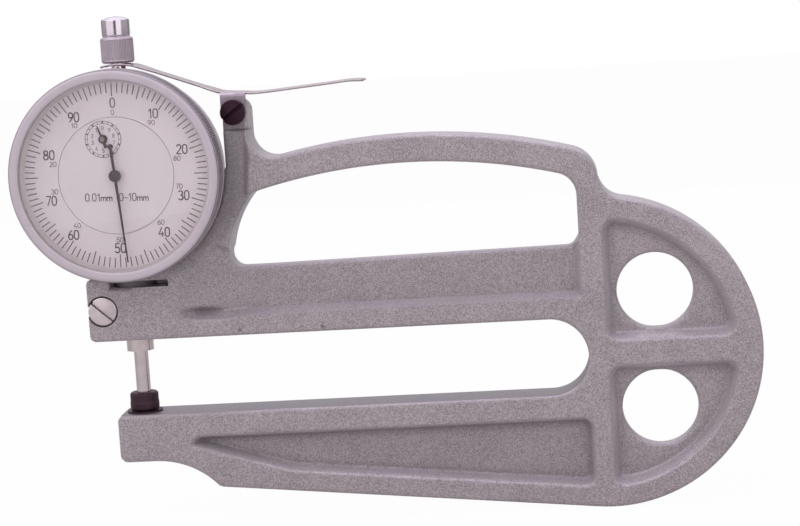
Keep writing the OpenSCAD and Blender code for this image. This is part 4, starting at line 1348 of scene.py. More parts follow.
    def pockets(self) -> list[Array]:
        """Loops through the middles of the pockets' round corners: lower jaw, then round end."""
        top = self.jaw_top - self.jaw_wall - self.pocket_round
        lean = np.radians(self.heel_deg)
        rib = self.jaw_rib_w * np.array([np.sin(lean), np.cos(lean)])
        low = self.heel + rib + [0, self.pocket_round]
        right = self.throat_depth + self.jaw_past - self.pocket_round
        at: Callable[[float], list[float]] = lambda x: [x, low[1] + np.tan(lean) * (x - low[0])]
        start = [self.heel[0] - self.jaw_start, top - self.jaw_droop]
        loops = [np.array([start, [right, top], at(right), at(self.heel[0] + self.jaw_foot)])]
        r = self.end_r - self.end_rim_w - self.pocket_round
        x = self.throat_depth + self.end_rib_x + self.pocket_round
        centre = self.end_c - [self.end_pocket_back, 0.0]
        for side in (1, -1):
            rise = side * (self.rib_w / 2 + self.rib_gap + self.pocket_round)
            near = float(np.degrees(np.arcsin(rise / r)))
            far = side * float(np.degrees(np.arccos((x - centre[0]) / r)))
            loops.append(np.vstack([[[x, self.end_c[1] + rise]], arc(centre, r, near, far, 16)]))
        return loops

    def wall(self, d: Array, depth: float, spread: float) -> Array:
        """Depth of a sunk panel at a distance from its edge line, over a soft wall."""
        return depth * smooth_step((spread / 2 - (d + self.draft / 2)) / spread)

    def sunk(self, p: Array) -> Array:
        """Depth of the pockets, the panel under the window, its lead and the relief on the post.

        Args:
            p: n x 2 points in X and Z.

        Returns:
            n depths.
        """
        start, end = [self.seat_right + self.lead_in, self.lead_z], [self.window_x, self.lead_z]
        lead = box_distance(p, start, end) - self.lead_r
        past = p[:, 0] - self.seat_right - self.lead_in + self.lead_r
        fade = smooth_step(past / self.lead_fade)
        groove = fade * self.wall(lead, self.lead_d, 2 * self.wall_w)
        widths = (self.wall_w, self.end_wall_w)
        pockets = [self.wall(d, self.pocket_d, w) for d, w in zip(self.pocket_edges(p), widths)]
        return np.max([*pockets, groove, self.panel(p), self.post_relief(p)], axis=0)

    def pocket_edges(self, p: Array) -> tuple[Array, Array]:
        """Distances to the edges of the jaw's pocket and of the nearer pocket in the round end."""
        jaw, *ends = [polygon_distance(p, loop) - self.pocket_round for loop in self.pockets()]
        return np.maximum(jaw, self.leaf_edge(p)), np.min(ends, axis=0)

    def leaf_edge(self, p: Array) -> Array:
        """Distance below the slanting edge that brings the jaw's pocket to a point on the left.

        Args:
            p: n x 2 points in X and Z.

        Returns:
            n distances.
        """
        tip, bend = np.array(self.leaf_tip), np.array(self.leaf_bend)
        way = (bend - tip) / np.linalg.norm(bend - tip)
        return (p - tip) @ np.array([way[1], -way[0]])

    def panel(self, p: Array) -> Array:
        """Depth of the panel under the window, which ramps out into the head.

        Args:
            p: n x 2 points in X and Z.

        Returns:
            n depths.
        """
        flange, right, c = self.flange_z, self.window_right, self.corner_r
        start = np.array([self.seat_right - 1.0, flange - 1.0])
        lean, ramp = np.radians([self.panel_lean, self.panel_ramp])
        edge = np.array([
            [start[0] - 1, flange - 2],
            [start[0] + self.flange_h, flange],
            [right, flange],
            [right, self.window_right_h + c],
            [self.window_x + c, self.window_left_h + c],
            [self.window_x - c, self.window_left_h + 2 * c],
        ])
        down = (p - start) @ np.array([np.cos(lean), -np.sin(lean)])
        fall = np.maximum(down, 0) * np.tan(ramp)
        slope_d = soft_min(fall, self.pocket_d, self.panel_soft)
        wall = self.wall(polygon_distance(p, edge), self.pocket_d, self.wall_w)
        return np.maximum(np.minimum(slope_d, wall), 0.0)

    def post_relief(self, p: Array) -> Array:
        """Depth of the shallow relief down the post, which ramps out beside the window.

        Args:
            p: n x 2 points in X and Z.

        Returns:
            n depths.
        """
        low, ramp = self.window_left_h + self.relief_low, np.radians(self.relief_ramp)
        x, high = self.pivot_x + self.post_r - self.relief_in, self.step_z + self.relief_high
        edge = np.array([
            [0.0, low],
            [self.window_x + 2 * self.corner_r, low],
            [x - self.relief_bend[0], self.hollow_c[1] - self.relief_bend[1]],
            [x, self.hollow_c[1] - self.post_fillet],
            [x, high],
            [0.0, high],
        ])
        fall = np.clip((p[:, 1] - low) * np.tan(ramp), 0, self.relief_d)
        inside = smooth_step(0.5 - polygon_distance(p, edge) / self.relief_soft)
        return np.minimum(fall, self.relief_d * inside)

    def flat(self, p: Array) -> Array:
        """Depth of the machined flat behind the lever's ear.

        Args:
            p: n x 2 points in X and Z.

        Returns:
            n depths.
        """
        aside = self.flat_half - np.abs(p[:, 0] - self.pivot_x)
        beyond = np.minimum(p[:, 1] - self.step_z, aside)
        return self.flat_d * smooth_step(0.5 + beyond / self.flat_soft)

    def build(self) -> Shape:
        """The casting's surface, before its seats and bores are cut."""
        front: Field = lambda p: self.half_t - np.maximum(self.sunk(p), self.flat(p))
        back: Field = lambda p: -self.half_t + self.sunk(p)
        place: Place = lambda p, t: upright(p, -t)
        low = [-self.head_reach - 1, self.end_c[1] - self.end_r - 1]
        high = [self.end_c[0] + self.end_r + 1, self.pivot[1] + self.post_r + 1]
        return plate(self.distance, low, high, self.step, front, back, self.rim, place)

    def cutters(self) -> list[Shape]:
        """Seats and bores: saw cut, seat's slot, stem, anvil and clamp screw."""
        half, over, low, seat = self.split_w / 2, self.over_cut, self.upper_z, self.seat_z
        clamp = (-self.clamp_x, 0.0, low + self.clamp_h)
        room = self.half_t - self.clamp_room_d
        bores = [
            (self.stem_bore_r, low - over, seat + 2 * over, 64, Turn.UP, ORIGIN),
            (self.stem_room, seat, seat + 2 * over, 64, Turn.UP, ORIGIN),
            (self.anvil_seat_r, self.jaw_top - 1, 2.0, 64, Turn.UP, ORIGIN),
            (self.clamp_room_r, room, self.half_t + over, 64, Turn.FRONT, clamp),
            (self.clamp_bore_r, -self.half_t - over, self.half_t, 48, Turn.FRONT, clamp),
        ]
        slot_end = [self.seat_right, self.slot_back, seat + self.slot_h]
        return [
            box([-2 * self.head_reach, -half, low - over], [0.0, half, low + self.head_h + over]),
            box([0.0, -2 * self.half_t, seat], slot_end),
            *(rod(*bore) for bore in bores),
        ]

    def grime(self, points: Array) -> Array:
        """Painted shade, 0 to 1: on sunk floors, at wall feet and corners, post, step, lead, case
        ring.

        Args:
            points: n x 3 points of the casting.

        Returns:
            n shares.
        """
        p = points[:, [0, 2]]
        hollow = self.panel_dirt * self.panel(p) / self.pocket_d
        walls = ((self.wall_w, *self.jaw_dirt), (self.end_wall_w, *self.end_dirt))
        for edge, (width, on_floor, at_foot) in zip(self.pocket_edges(p), walls):
            inward = 0.5 - (edge + self.draft / 2) / width
            foot = smooth_step((inward - 0.35) / 0.65) * smooth_step((2.3 - inward) / 1.3)
            hollow = hollow + on_floor * self.wall(edge, 1.0, width) + at_foot * foot
        above = p[:, 1] - self.step_z
        ledge = smooth_step((above + 0.2) / 0.2) * smooth_step((0.75 - above) / 0.35)
        start, end = [self.seat_right + self.lead_in, self.lead_z], [self.window_x - 4, self.lead_z]
        lead_shadow = smooth_step(1.3 - box_distance(p, start, end) / self.lead_r)
        fade = smooth_step((self.window_x + 3 - p[:, 0]) / 12)
        off_case = circle_distance(p, self.dial_c, self.case_room_r)
        shade_parts = [
            hollow,
            self.post_dirt * self.post_relief(p) / self.relief_d,
            self.ledge_dirt * ledge * (points[:, 1] < 0),
            self.lead_dirt * lead_shadow * fade,
            self.case_dirt * smooth_step((self.case_ring - off_case) / self.case_ring),
        ]
        return np.clip(np.max(shade_parts, axis=0), 0.0, 1.0)

    def machined(self, m: Array) -> Array:
        """Whether points lie on the jaw's top or the lower half of the throat's round end.

        Args:
            m: n x 3 middles of faces.

        Returns:
            n truth values.
        """
        x, z = self.throat_c
        end = np.abs(np.hypot(m[:, 0] - x, m[:, 2] - z) - self.throat_gap / 2) < 0.1
        return np.where(m[:, 0] < x, np.abs(m[:, 2] - self.jaw_top) < 0.05, end & (m[:, 2] < z))

    def make(self, finishes: Finishes) -> None:
        """Builds, cuts and dresses the casting.

        Args:
            finishes: the finishes, by name.
        """
        piece = self.build().piece("cast_bow")
        knives = [shape.piece(f"knife_{i}") for i, shape in enumerate(self.cutters())]
        for knife in knives:
            cut = piece.modifiers.new(knife.name, "BOOLEAN")
            cut.object, cut.operation, cut.solver = knife, "DIFFERENCE", "MANIFOLD"
        cut_piece = piece.evaluated_get(bpy.context.evaluated_depsgraph_get())
        whole = bpy.data.meshes.new_from_object(cut_piece)
        piece.modifiers.clear()
        old, piece.data = piece.data, whole
        bpy.data.meshes.remove(old)
        for knife in knives:
            bpy.data.meshes.remove(knife.data)
        whole.shade_smooth()
        whole.set_sharp_from_angle(angle=np.radians(self.crease_deg))
        # The casting's painted shade is stored for its finish to darken
        store_grooves(piece, self.grime(vertices(piece)))
        finishes.settle(piece, "hammertone_grey", "stand", "casting", "frame")
        finishes.zone(piece, "machined_jaw", self.machined)


@dataclass
class Bezel:
    """Turning rim with a straight knurl round its side, and the crystal in it."""

    centre: Triple = DIAL_AXIS
    outer: float = 27.75
    round_r: float = 1.1
    opening: float = 25.0
    bore: float = 25.95
    back: float = 9.0
    front: float = 18.2
    lip: float = 17.3
    crystal_t: float = 1.42
    cone_r: float = 24.35
    cone_h: float = 3.75
    teeth: int = 300
    tooth_h: float = 0.28
    plain: float = 1.4
    edge_r: float = 0.25
    cone_gap: float = 0.05
    crease_deg: float = 50.0

    def knurl(self, r: Array, h: Array, a: Array) -> Array:
        """Teeth round the side: a rounded saw wave of the angle, faded at both ends of the side.

        Args:
            r: radii of the turned points.
            h: their heights along the axis.
            a: their angles round it.

        Returns:
            How each radius changes.
        """
        low, high = self.back + self.plain, self.front - self.round_r
        side = smooth_step((h - low) / 0.3) * smooth_step((high - h) / 0.4)
        wave = np.abs(np.sin(a * self.teeth / 2))
        return -self.tooth_h * side * wave * smooth_step((r - self.outer + 0.5) / 0.3)

    def build(self) -> Shape:
        """The rim's turned surface."""
        o, b, f, r, lip = self.outer, self.back, self.front, self.round_r, self.lip
        profile = [
            [self.bore, b + 3], [self.bore, b], [o - 0.35, b],
            *([o, b + t] for t in (0.4, 1.2, 1.8, 3.6, 5.4)), [o, f - r - 0.5],
            *arc([o - r, f - r], r, 15, 85, 5).tolist(),
            [self.opening + 0.35, f], [self.opening, lip + 0.6], [self.opening, lip],
            [self.bore, lip], [self.bore, b + 3],
        ]
        line = rounded(profile, self.edge_r, 2)[:-1]
        return lathe(line, 4 * self.teeth, Turn.FRONT, self.centre, self.knurl, closed=True)

    def cone(self) -> Shape:
        """The spacer ring behind the crystal, which leans in to the ends of the strokes."""
        out = self.bore - self.cone_gap
        deep, high = self.lip - self.cone_h, self.lip - self.crystal_t
        profile = np.array([[self.cone_r, deep], [out, deep], [out, high], [self.opening, high]])
        return lathe(profile, 192, Turn.FRONT, self.centre, closed=True)

    def make(self, finishes: Finishes) -> None:
        """Builds and dresses the rim, the spacer and the crystal.

        Args:
            finishes: the finishes, by name.
        """
        piece = self.build().piece("bezel_rim", self.crease_deg)
        mark_knurl(piece, self.centre, Turn.FRONT, self.outer, self.tooth_h)
        finishes.settle(piece, "satin_bezel", "rim", "satin_chrome", "bezel")
        # Painted light: the bezel's inner wall and the crystal's edge take the rehaut's pale paint,
        # which lifts the shade that falls there
        off: Field = lambda m: np.hypot(m[:, 0], m[:, 2] - self.centre[2])
        inner: Field = lambda m: (off(m) < self.bore + 0.02) & (m[:, 1] > 0.3 - self.front)
        finishes.zone(piece, "rehaut", inner)
        cone = self.cone().piece("spacer_cone")
        finishes.settle(cone, "rehaut", "rim", "steel", "spacer_ring")
        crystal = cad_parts["crystal"]
        finishes.dress(crystal, "crystal_clear")
        finishes.zone(crystal, "rehaut", lambda m: off(m) > self.bore - 0.15)


@dataclass
class DialFace:
    """Scale on the turning ring, and the fixed middle with its turn counter."""

    centre: Point = DIAL
    face: float = -13.5
    ink: float = 0.03
    ring_sink: float = 0.01
    zero_deg: float = 1.4
    tick_out: float = 24.15
    tick: float = 2.6
    long_tick: float = 3.5
    tick_w: float = 0.29
    marks: int = 100
    long_every: int = 5
    figure_rs: Point = (19.0, 19.08, 18.82, 18.52, 19.3, 19.02, 19.42, 18.46, 18.41, 18.68)
    figure_h: float = 2.35
    figure_degs: Point = (1.7, 35.3, 71.7, 109.2, 143.0, 180.9, 219.9, 252.2, 290.1, 327.8)
    weight: float = 0.14
    small_r: float = 16.85
    small_top_r: float = 16.5
    small_h: float = 1.2
    small_wide: float = 1.3
    small_degs: Point = (1.4, 38.1, 77.6, 102.6, 139.5, 180.8, 222.0, 258.6, 283.2, 323.8)
    counter: Point = COUNTER
    counter_marks: int = 20
    counter_halves: Span = (0.24, 0.09)
    counter_weight: float = 0.15
    ring_out: float = 4.75
    ring_in: float = 4.1
    ring_ws: Span = (0.16, 0.12)
    counter_r: float = 2.95
    counter_h: float = 1.0
    middle_deg: float = 2.5
    unit_drop: float = 5.65
    unit_h: float = 1.95
    unit_xs: Span = (-4.75, 4.55)
    unit_weight: float = 0.13

    @staticmethod
    def rays(deg: Array) -> Array:
        """Unit directions at angles clockwise from the top."""
        a = np.radians(deg)
        return table(np.sin(a), np.cos(a))

    def ticks(self) -> Shape:
        """Strokes of the scale, some of them longer."""
        number = np.arange(self.marks)
        along = self.rays(self.zero_deg + 360.0 / self.marks * number)
        length = np.where(number % self.long_every == 0, self.long_tick, self.tick)
        middle = np.array(self.centre) + along * (self.tick_out - length / 2)[:, None]
        half_wide = np.full(self.marks, self.tick_w / 2)
        return slabs(middle, along, length / 2, half_wide, self.face, self.ink)

    def text(
        self, figures: Figures, words: str, height: float, at: Array, lean: float, weight: float
    ) -> Shape:
        """Figures printed on the face."""
        return figures.write(words, height, at, self.face, self.ink, lean, weight)

    def scale_figures(self, figures: Figures) -> list[Shape]:
        """Tens clockwise in large figures, and anticlockwise in small ones beside them.

        Args:
            figures: the strokes of the figures.

        Returns:
            The figures' surfaces.
        """
        made, small = [], Figures(self.small_wide)
        spots = np.array(self.figure_rs)[:, None] * self.rays(np.array(self.figure_degs))
        small_rs = np.full(len(self.small_degs), self.small_r)
        small_rs[0] = self.small_top_r
        beside = small_rs[:, None] * self.rays(np.array(self.small_degs))
        for i, (at, small_at) in enumerate(zip(self.centre + spots, self.centre + beside)):
            words, other = str(10 * i), str((self.marks - 10 * i) % self.marks)
            made += [
                self.text(figures, words, self.figure_h, at, self.zero_deg, self.weight),
                self.text(small, other, self.small_h, small_at, self.zero_deg, self.weight),
            ]
        return made

    def ring(self, centre: Point, radius: float, width: float) -> Shape:
        """Printed circle: a turned band lying on the face.

        Args:
            centre: the middle.
            radius: radius of the line's middle.
            width: the line's width.

        Returns:
            The circle's surface.
        """
        low, high = radius - width / 2, radius + width / 2
        back, front = -self.face - self.ring_sink, -self.face + self.ink
        profile = np.array([[low, back], [high, back], [high, front], [low, front]])
        return lathe(profile, 96, Turn.FRONT, (centre[0], 0.0, centre[1]), closed=True)

    def counter_print(self, figures: Figures) -> list[Shape]:
        """Turn counter: two circles, strokes between them and ten small figures.

        Args:
            figures: the strokes of the figures.

        Returns:
            The print's surfaces.
        """
        number = np.arange(self.counter_marks)
        along = self.rays(self.middle_deg - 360.0 / self.counter_marks * number)
        middle = np.array(self.counter) + along * (self.ring_out + self.ring_in) / 2
        half = np.full(len(number), (self.ring_out - self.ring_in) / 2)
        half_wide = np.where(number % 2 == 0, *self.counter_halves)
        rings = zip((self.ring_out, self.ring_in), self.ring_ws)
        made = [self.ring(self.counter, r, width) for r, width in rings]
        made.append(slabs(middle, along, half, half_wide, self.face, self.ink))
        spots = np.array(self.counter) + along[::2] * self.counter_r
        height, lean, weight = self.counter_h, self.middle_deg, self.counter_weight
        return made + [
            self.text(figures, str(i), height, at, lean, weight) for i, at in enumerate(spots)
        ]

    def unit_print(self, figures: Figures) -> list[Shape]:
        """The graduation and the range, either side of the middle.

        Args:
            figures: the strokes of the figures.

        Returns:
            The print's surfaces.
        """
        turn = np.radians(self.middle_deg)
        right = np.array([np.cos(turn), -np.sin(turn)])
        drop = self.unit_drop * np.array([-np.sin(turn), -np.cos(turn)])
        return [
            self.text(figures, words, self.unit_h, np.array(self.centre) + (x * right + drop),
                      self.middle_deg, self.unit_weight)
            for words, x in zip(("0.01mm", "0-10mm"), self.unit_xs)
        ]

    def make(self, finishes: Finishes) -> None:
        """Prints both parts of the dial and dresses their grounds.

        Args:
            finishes: the finishes, by name.
        """
        figures = Figures()
        outer = [self.ticks(), *self.scale_figures(figures)]
        finishes.settle(join(outer).piece("scale_print"), "dial_ink", "rim", "hands")
        inner = self.counter_print(figures) + self.unit_print(figures)
        finishes.settle(join(inner).piece("centre_print"), "dial_ink", "stand", "hands")
        for node in ("dial_ring", "centre_dial"):
            finishes.dress(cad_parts[node], "dial_ground")


@dataclass
class Hands:
    """Main hand and counter hand, stamped with rounded edges."""

    centre: Point = DIAL
    counter: Point = COUNTER
    length: float = 22.8
    halves: Span = (0.40, 0.16)
    hub_r: float = 1.6
    tail: float = 7.7
    tail_halves: Span = (0.34, 0.40)
    tail_r: float = 0.72
    main_deg: float = 175.6
    main_back: float = -14.9
    small_length: float = 3.7
    small_halves: Span = (0.30, 0.14)
    small_hub_r: float = 1.05
    small_tail: float = 2.4
    small_tail_halves: Span = (0.22, 0.42)
    counter_deg: float = -18.9
    small_back: float = -14.1
    thick: float = 0.3
    dome_h: float = 0.12
    dome_r: float = 1.3
    step: float = 0.06
    grid_half: float = 2.2
    grid_down: float = 8.8
    grid_past: float = 0.4
    small_reach: float = 4.0

    @staticmethod
    def taper(p: Array, start: float, end: float, w0: float, w1: float) -> Array:
        """Distance to a tapered bar along v, from half width w0 at start to w1 at end.

        Args:
            p: n x 2 points beside the hand, which points up.
            start: where it starts.
            end: where it ends.
            w0: half width at the start.
            w1: half width at the end.

        Returns:
            n distances.
        """
        share = np.clip((p[:, 1] - start) / (end - start), 0, 1)
        ends = np.maximum(min(start, end) - p[:, 1], p[:, 1] - max(start, end))
        return np.maximum(np.abs(p[:, 0]) - (w0 + (w1 - w0) * share), ends)

    def main(self, p: Array) -> Array:
        """Edge of the main hand: hub, pointer, tail and the tail's round end.

        Args:
            p: n x 2 points beside the hand, which points up.

        Returns:
            n distances.
        """
        return np.min([
            circle_distance(p, (0.0, 0.0), self.hub_r),
            self.taper(p, 0.0, self.length, *self.halves),
            self.taper(p, 0.0, -self.tail, *self.tail_halves),
            circle_distance(p, (0.0, -self.tail), self.tail_r),
        ], axis=0)

    def small(self, p: Array) -> Array:
        """Edge of the counter hand: hub, pointer and flared tail.

        Args:
            p: n x 2 points beside the hand, which points up.

        Returns:
            n distances.
        """
        return np.min([
            circle_distance(p, (0.0, 0.0), self.small_hub_r),
            self.taper(p, 0.0, self.small_length, *self.small_halves),
            self.taper(p, 0.0, -self.small_tail, *self.small_tail_halves),
        ], axis=0)

    def stamped(self, edge: Field, reach: float, turn_deg: float, at: Point, back: float) -> Shape:
        """Thin plate with a hand's edge, turned clockwise and set at its arbor.

        Args:
            edge: signed distance to the hand's edge, with the hand pointing up.
            reach: how far the hand's grid goes up.
            turn_deg: clockwise turn from the top.
            at: the arbor in X and Z.
            back: the hand's back in Y.

        Returns:
            The hand's surface.
        """
        a = np.radians(-turn_deg)
        spin = np.array([[np.cos(a), -np.sin(a)], [np.sin(a), np.cos(a)]])
        place: Place = lambda p, t: upright(p @ spin.T + np.array(at), back - t)
        hub: Field = lambda p: smooth_step(-circle_distance(p, (0.0, 0.0), self.dome_r))
        dome: Field = lambda p: self.thick + self.dome_h * hub(p)
        half = self.grid_half
        low, high = [-half, -self.grid_down], [half, reach + self.grid_past]
        return plate(edge, low, high, self.step, dome, level(0.0), self.step, place, 2)

    def make(self, finishes: Finishes) -> None:
        """Builds and dresses both hands.

        Args:
            finishes: the finishes, by name.
        """
        main = self.stamped(self.main, self.length, self.main_deg, self.centre, self.main_back)
        reach = self.small_reach
        small = self.stamped(self.small, reach, self.counter_deg, self.counter, self.small_back)
        knob = np.array([[0, 14.35], [0.62, 14.35], [0.62, 14.6], [0.4, 14.72], [0, 14.75]])
        tip = lathe(knob, 32, Turn.FRONT, (self.counter[0], 0.0, self.counter[1]))
        arbor = "counter_arbor"
        for shape, name, finish, body, slot, *nodes in (
            (main, "pointer", "hand_black", "centre_arbor", "hands", "main_hand"),
            (small, "counter_pointer", "hand_black", arbor, "hands", "counter_hand"),
            (tip, "counter_arbor_tip", "hub_brown", arbor, "steel"),
        ):
            finishes.settle(shape.piece(name), finish, body, slot, *nodes)


@dataclass
class Spindle:
    """Plunger with its knurled cap above and its contact below."""

    cap_z: float = 93.4
    skirt_r: float = 4.35
    skirt_h: float = 6.8
    crown_r: float = 3.75
    crown_h: float = 5.5
    teeth: int = 60
    tooth_h: float = 0.1
    edge_r: float = 0.25
    foot_r: float = 3.9
    collar_r: float = 3.8
    contact_h: float = 5.0

    def cap_knurl(self, r: Array, h: Array, a: Array) -> Array:
        """Straight teeth round the skirt, faded at its two ends.

        Args:
            r: radii of the turned points.
            h: their heights along the axis.
            a: their angles round it.

        Returns:
            How each radius changes.
        """
        z = h - self.cap_z
        side = smooth_step((z - 0.5) / 0.4) * smooth_step((self.skirt_h - 0.5 - z) / 0.4)
        wave = np.abs(np.sin(a * self.teeth / 2))
        return -self.tooth_h * side * wave * smooth_step((r - self.skirt_r + 0.6) / 0.3)

    def cap(self) -> Shape:
        """The cap: knurled skirt, smooth crown and a low dome."""
        z0, s, c, h = self.cap_z, self.skirt_r, self.crown_r, self.skirt_h
        z1, z2 = z0 + h, z0 + h + self.crown_h
        side = [[s, z0 + t] for t in (0.4, 0.9, 2.0, 3.2, 4.4, h - 0.9, h - 0.4)]
        crown = [[c - 0.2, z1 + 0.05], [c, z1 + 0.5], [c, z2 - 0.95], [c - 0.35, z2 - 0.7]]
        profile = [[0, z0], [s - 0.45, z0], *side, [s - 0.45, z1], *crown, [1.9, z2 - 0.2], [0, z2]]
        line = rounded(profile, self.edge_r)
        return lathe(line, 6 * self.teeth, Turn.UP, wave=self.cap_knurl)

    def contact(self) -> Shape:
        """The contact: a foot with a worn lower edge under a collar."""
        f, c, h = self.foot_r, self.collar_r, self.contact_h
        foot = [[0, 0.05], [f - 0.55, 0.05], [f, 0.6], [f, h / 2 - 0.25]]
        profile = foot + [[c, h / 2], [c, h - 0.45], [c - 0.45, h], [0, h]]
        return lathe(rounded(profile, self.edge_r), 96, Turn.UP)

    def make(self, finishes: Finishes) -> None:
        """Builds and dresses the cap, the contact and the rod.

        Args:
            finishes: the finishes, by name.
        """
        cap = self.cap().piece("knurled_cap", FINE_CREASE_DEG)
        mark_knurl(cap, ORIGIN, Turn.UP, self.skirt_r, self.tooth_h)
        finishes.settle(cap, "polished_cap", "spindle", "cap", "plunger_cap")
        skirt_top = self.cap_z + self.skirt_h + 0.02
        finishes.zone(cap, "knurled_skirt", lambda m: m[:, 2] < skirt_top)
        contact = self.contact().piece("contact_foot")
        finishes.settle(contact, "black_steel", "spindle", "dark_steel", "contact_point")
        finishes.dress(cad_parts["plunger"], "ground_steel")


@dataclass
class Lever:
    """Bent strip with a fork under the cap, a thumb end, and an ear on the pivot screw."""

    half_w: float = 4.6
    thick: float = 0.55
    waist: float = 1.5
    waist_fade: float = 5.0
    neck_x: float = 6.0
    neck_gap: float = 2.0
    strip_step: float = 0.3
    ear_step: float = 0.2
    grid_past: float = 0.5
    fork_half: float = 2.4
    fork_end: float = 0.9
    top_z: float = 93.0
    pivot: Point = PIVOT
    corner_r: float = 1.2
    edge_r: float = 0.18
    bend_r: float = 1.0
    ear_lap: float = 0.5
    ear_half: float = 3.4
    strip_z: float = 83.6
    ear_y: float = -5.55
    ear_rise: float = 0.2
    ear_front: float = -5.0
    hole_r: float = 2.05

    def line(self) -> Array:
        """Knots of the strip's middle line in X and Z, from the fork's tip to the thumb end."""
        x0, x1 = self.pivot[0] - self.ear_half, self.pivot[0] + self.ear_half
        t, f = self.top_z, self.strip_z
        return np.array([
            [-4.2, t - 0.5], [-2.6, t - 0.1], [-0.4, t], [2.4, t - 0.1], [4.6, t - 0.5],
            [6.6, t - 1.2], [x0 - 2.2, f + 1.2], [x0 - 0.6, f + 0.7], [x0 + 0.8, f + 0.4],
            [x1 - 0.6, f], [x1 + 1.4, f - 0.15], [x1 + 5, f - 0.05], [x1 + 14, f + 0.6],
            [x1 + 22, f + 1.2], [x1 + 27, f + 1.6], [x1 + 31, f + 1.5],
        ])

    def path(self) -> tuple[Array, Array, Array]:
        """Middle line as even samples: distance along it, points and upward normals.

        Each stretch between knots B and C is a cubic through them, level with (C - A) / 2 and
        (D - B) / 2, where A and D are the knots before and after.
        """
        k = self.line()
        k = np.vstack([2 * k[0] - k[1], k, 2 * k[-1] - k[-2]])
        t = np.linspace(0, 1, 40, endpoint=False)[:, None]
        a, b, c, d = (k[i:len(k) - 3 + i, None] for i in range(4))
        square, cube = 2 * a - 5 * b + 4 * c - d, 3 * b - a - 3 * c + d
        curve = 0.5 * (2 * b + (c - a) * t + square * t**2 + cube * t**3)
        points = np.vstack([curve.reshape(-1, 2), k[-2]])
        s = np.concatenate([[0], np.cumsum(np.linalg.norm(np.diff(points, axis=0), axis=1))])
        way = np.gradient(points, s, axis=0)
        way /= np.linalg.norm(way, axis=1, keepdims=True)
        return s, points, table(-way[:, 1], way[:, 0])

    def strip(self) -> Shape:
        """The strip: a flat blank with its fork slot, bent along the middle line."""
        s, points, normals = self.path()
        start = float(np.interp(0.0, points[:, 0], s))
        slot_end = float(np.interp(self.fork_end, points[:, 0], s))
        ear_x = self.pivot[0] - self.ear_half - self.neck_gap
        neck, ear = np.interp([self.neck_x, ear_x], points[:, 0], s)

        def edge(p: Array) -> Array:
            """Blank with round corners and a waist between fork and ear, less the fork's slot.

            Args:
                p: n x 2 points of the flat strip, along and across it.

            Returns:
                n distances.
            """
            r, x, fade = self.corner_r, p[:, 0], self.waist_fade
            slim = self.waist * smooth_step((x - neck) / fade) * smooth_step((ear - x) / fade)
            q = table(x, p[:, 1] * self.half_w / (self.half_w - slim))
            blank = box_distance(q, [r, -self.half_w + r], [s[-1] - r, self.half_w - r]) - r
            slot = np.minimum(
                box_distance(p, [-5.0, -self.fork_half], [slot_end, self.fork_half]),
                circle_distance(p, (start, 0.0), self.fork_half),
            )
            return np.maximum(blank, -slot)

        def place(p: Array, t: Array) -> Array:
            """Bends the blank: along the line, with thickness along its normal.

            Args:
                p: n x 2 points of the flat strip, along and across it.
                t: n heights over the flat sheet.

            Returns:
                n x 3 points.
            """
            at, up = (
                table(*(np.interp(p[:, 0], s, line[:, i]) for i in (0, 1)))
                for line in (points, normals)
            )
            return upright(at + up * t[:, None], p[:, 1])

        past = self.grid_past
        low, high = [-past, -self.half_w - past], [s[-1] + past, self.half_w + past]
        return self.sheet(edge, low, high, self.strip_step, place)

    def sheet(self, edge: Field, low: Point, high: Point, step: float, place: Place) -> Shape:
        """Plate of the strip's thickness over an edge, on a grid, put in place."""
        half = self.thick / 2
        return plate(edge, low, high, step, level(half), level(-half), self.edge_r, place, 3)

    def ear(self) -> Shape:
        """The ear: a tab that turns down from the strip's front edge through a bend."""
        _, points, _ = self.path()
        bend, half = self.bend_r, self.ear_half
        top = self.strip_z + self.ear_rise - bend
        arc_l = np.pi / 2 * bend
        end = top + arc_l + self.ear_lap
        turn_y = self.ear_y + bend
        x, z = self.pivot

        def edge(p: Array) -> Array:
            """Tab with a round lower end about the pivot, less its hole.

            Args:
                p: n x 2 points of the flat tab.

            Returns:
                n distances.
            """
            tab = box_distance(p, [x - half, z], [x + half, end])
            whole = np.minimum(tab, circle_distance(p, self.pivot, half))
            return np.maximum(whole, -circle_distance(p, self.pivot, self.hole_r))

        def place(p: Array, t: Array) -> Array:
            """Stands the tab upright up to the bend, then turns it back into the strip.

            Args:
                p: n x 2 points of the flat tab.
                t: n heights over the flat sheet.

            Returns:
                n x 3 points.
            """
            w = p[:, 1] - top
            a = np.clip(w, 0, arc_l) / bend
            over = np.maximum(w - arc_l, 0)
            y = turn_y - bend * np.cos(a) - t * np.cos(a) + over
            rise = np.minimum(p[:, 1], top) + bend * np.sin(a) + t * np.sin(a)
            lean = np.interp(p[:, 0], points[:, 0], points[:, 1]) - (top + bend)
            return table(p[:, 0], y, rise + lean * smooth_step(w / arc_l))

        past = self.grid_past
        low, high = [x - half - past, z - half - past], [x + half + past, end + past]
        return self.sheet(edge, low, high, self.ear_step, place)

    def make(self, finishes: Finishes) -> None:
        """Builds and dresses the lever.

        Args:
            finishes: the finishes, by name.
        """
        piece = (self.strip() + self.ear()).piece("thumb_lever", FINE_CREASE_DEG)
        finishes.settle(piece, "lever_strip", "lever", "bright_steel", "lift_lever")
        # Painted shade: the tab that turns down is darker than the strip it is bent from
        ear: Field = lambda m: (m[:, 1] < self.ear_front) & (m[:, 2] < self.strip_z)
        finishes.zone(piece, "lever_ear", ear)


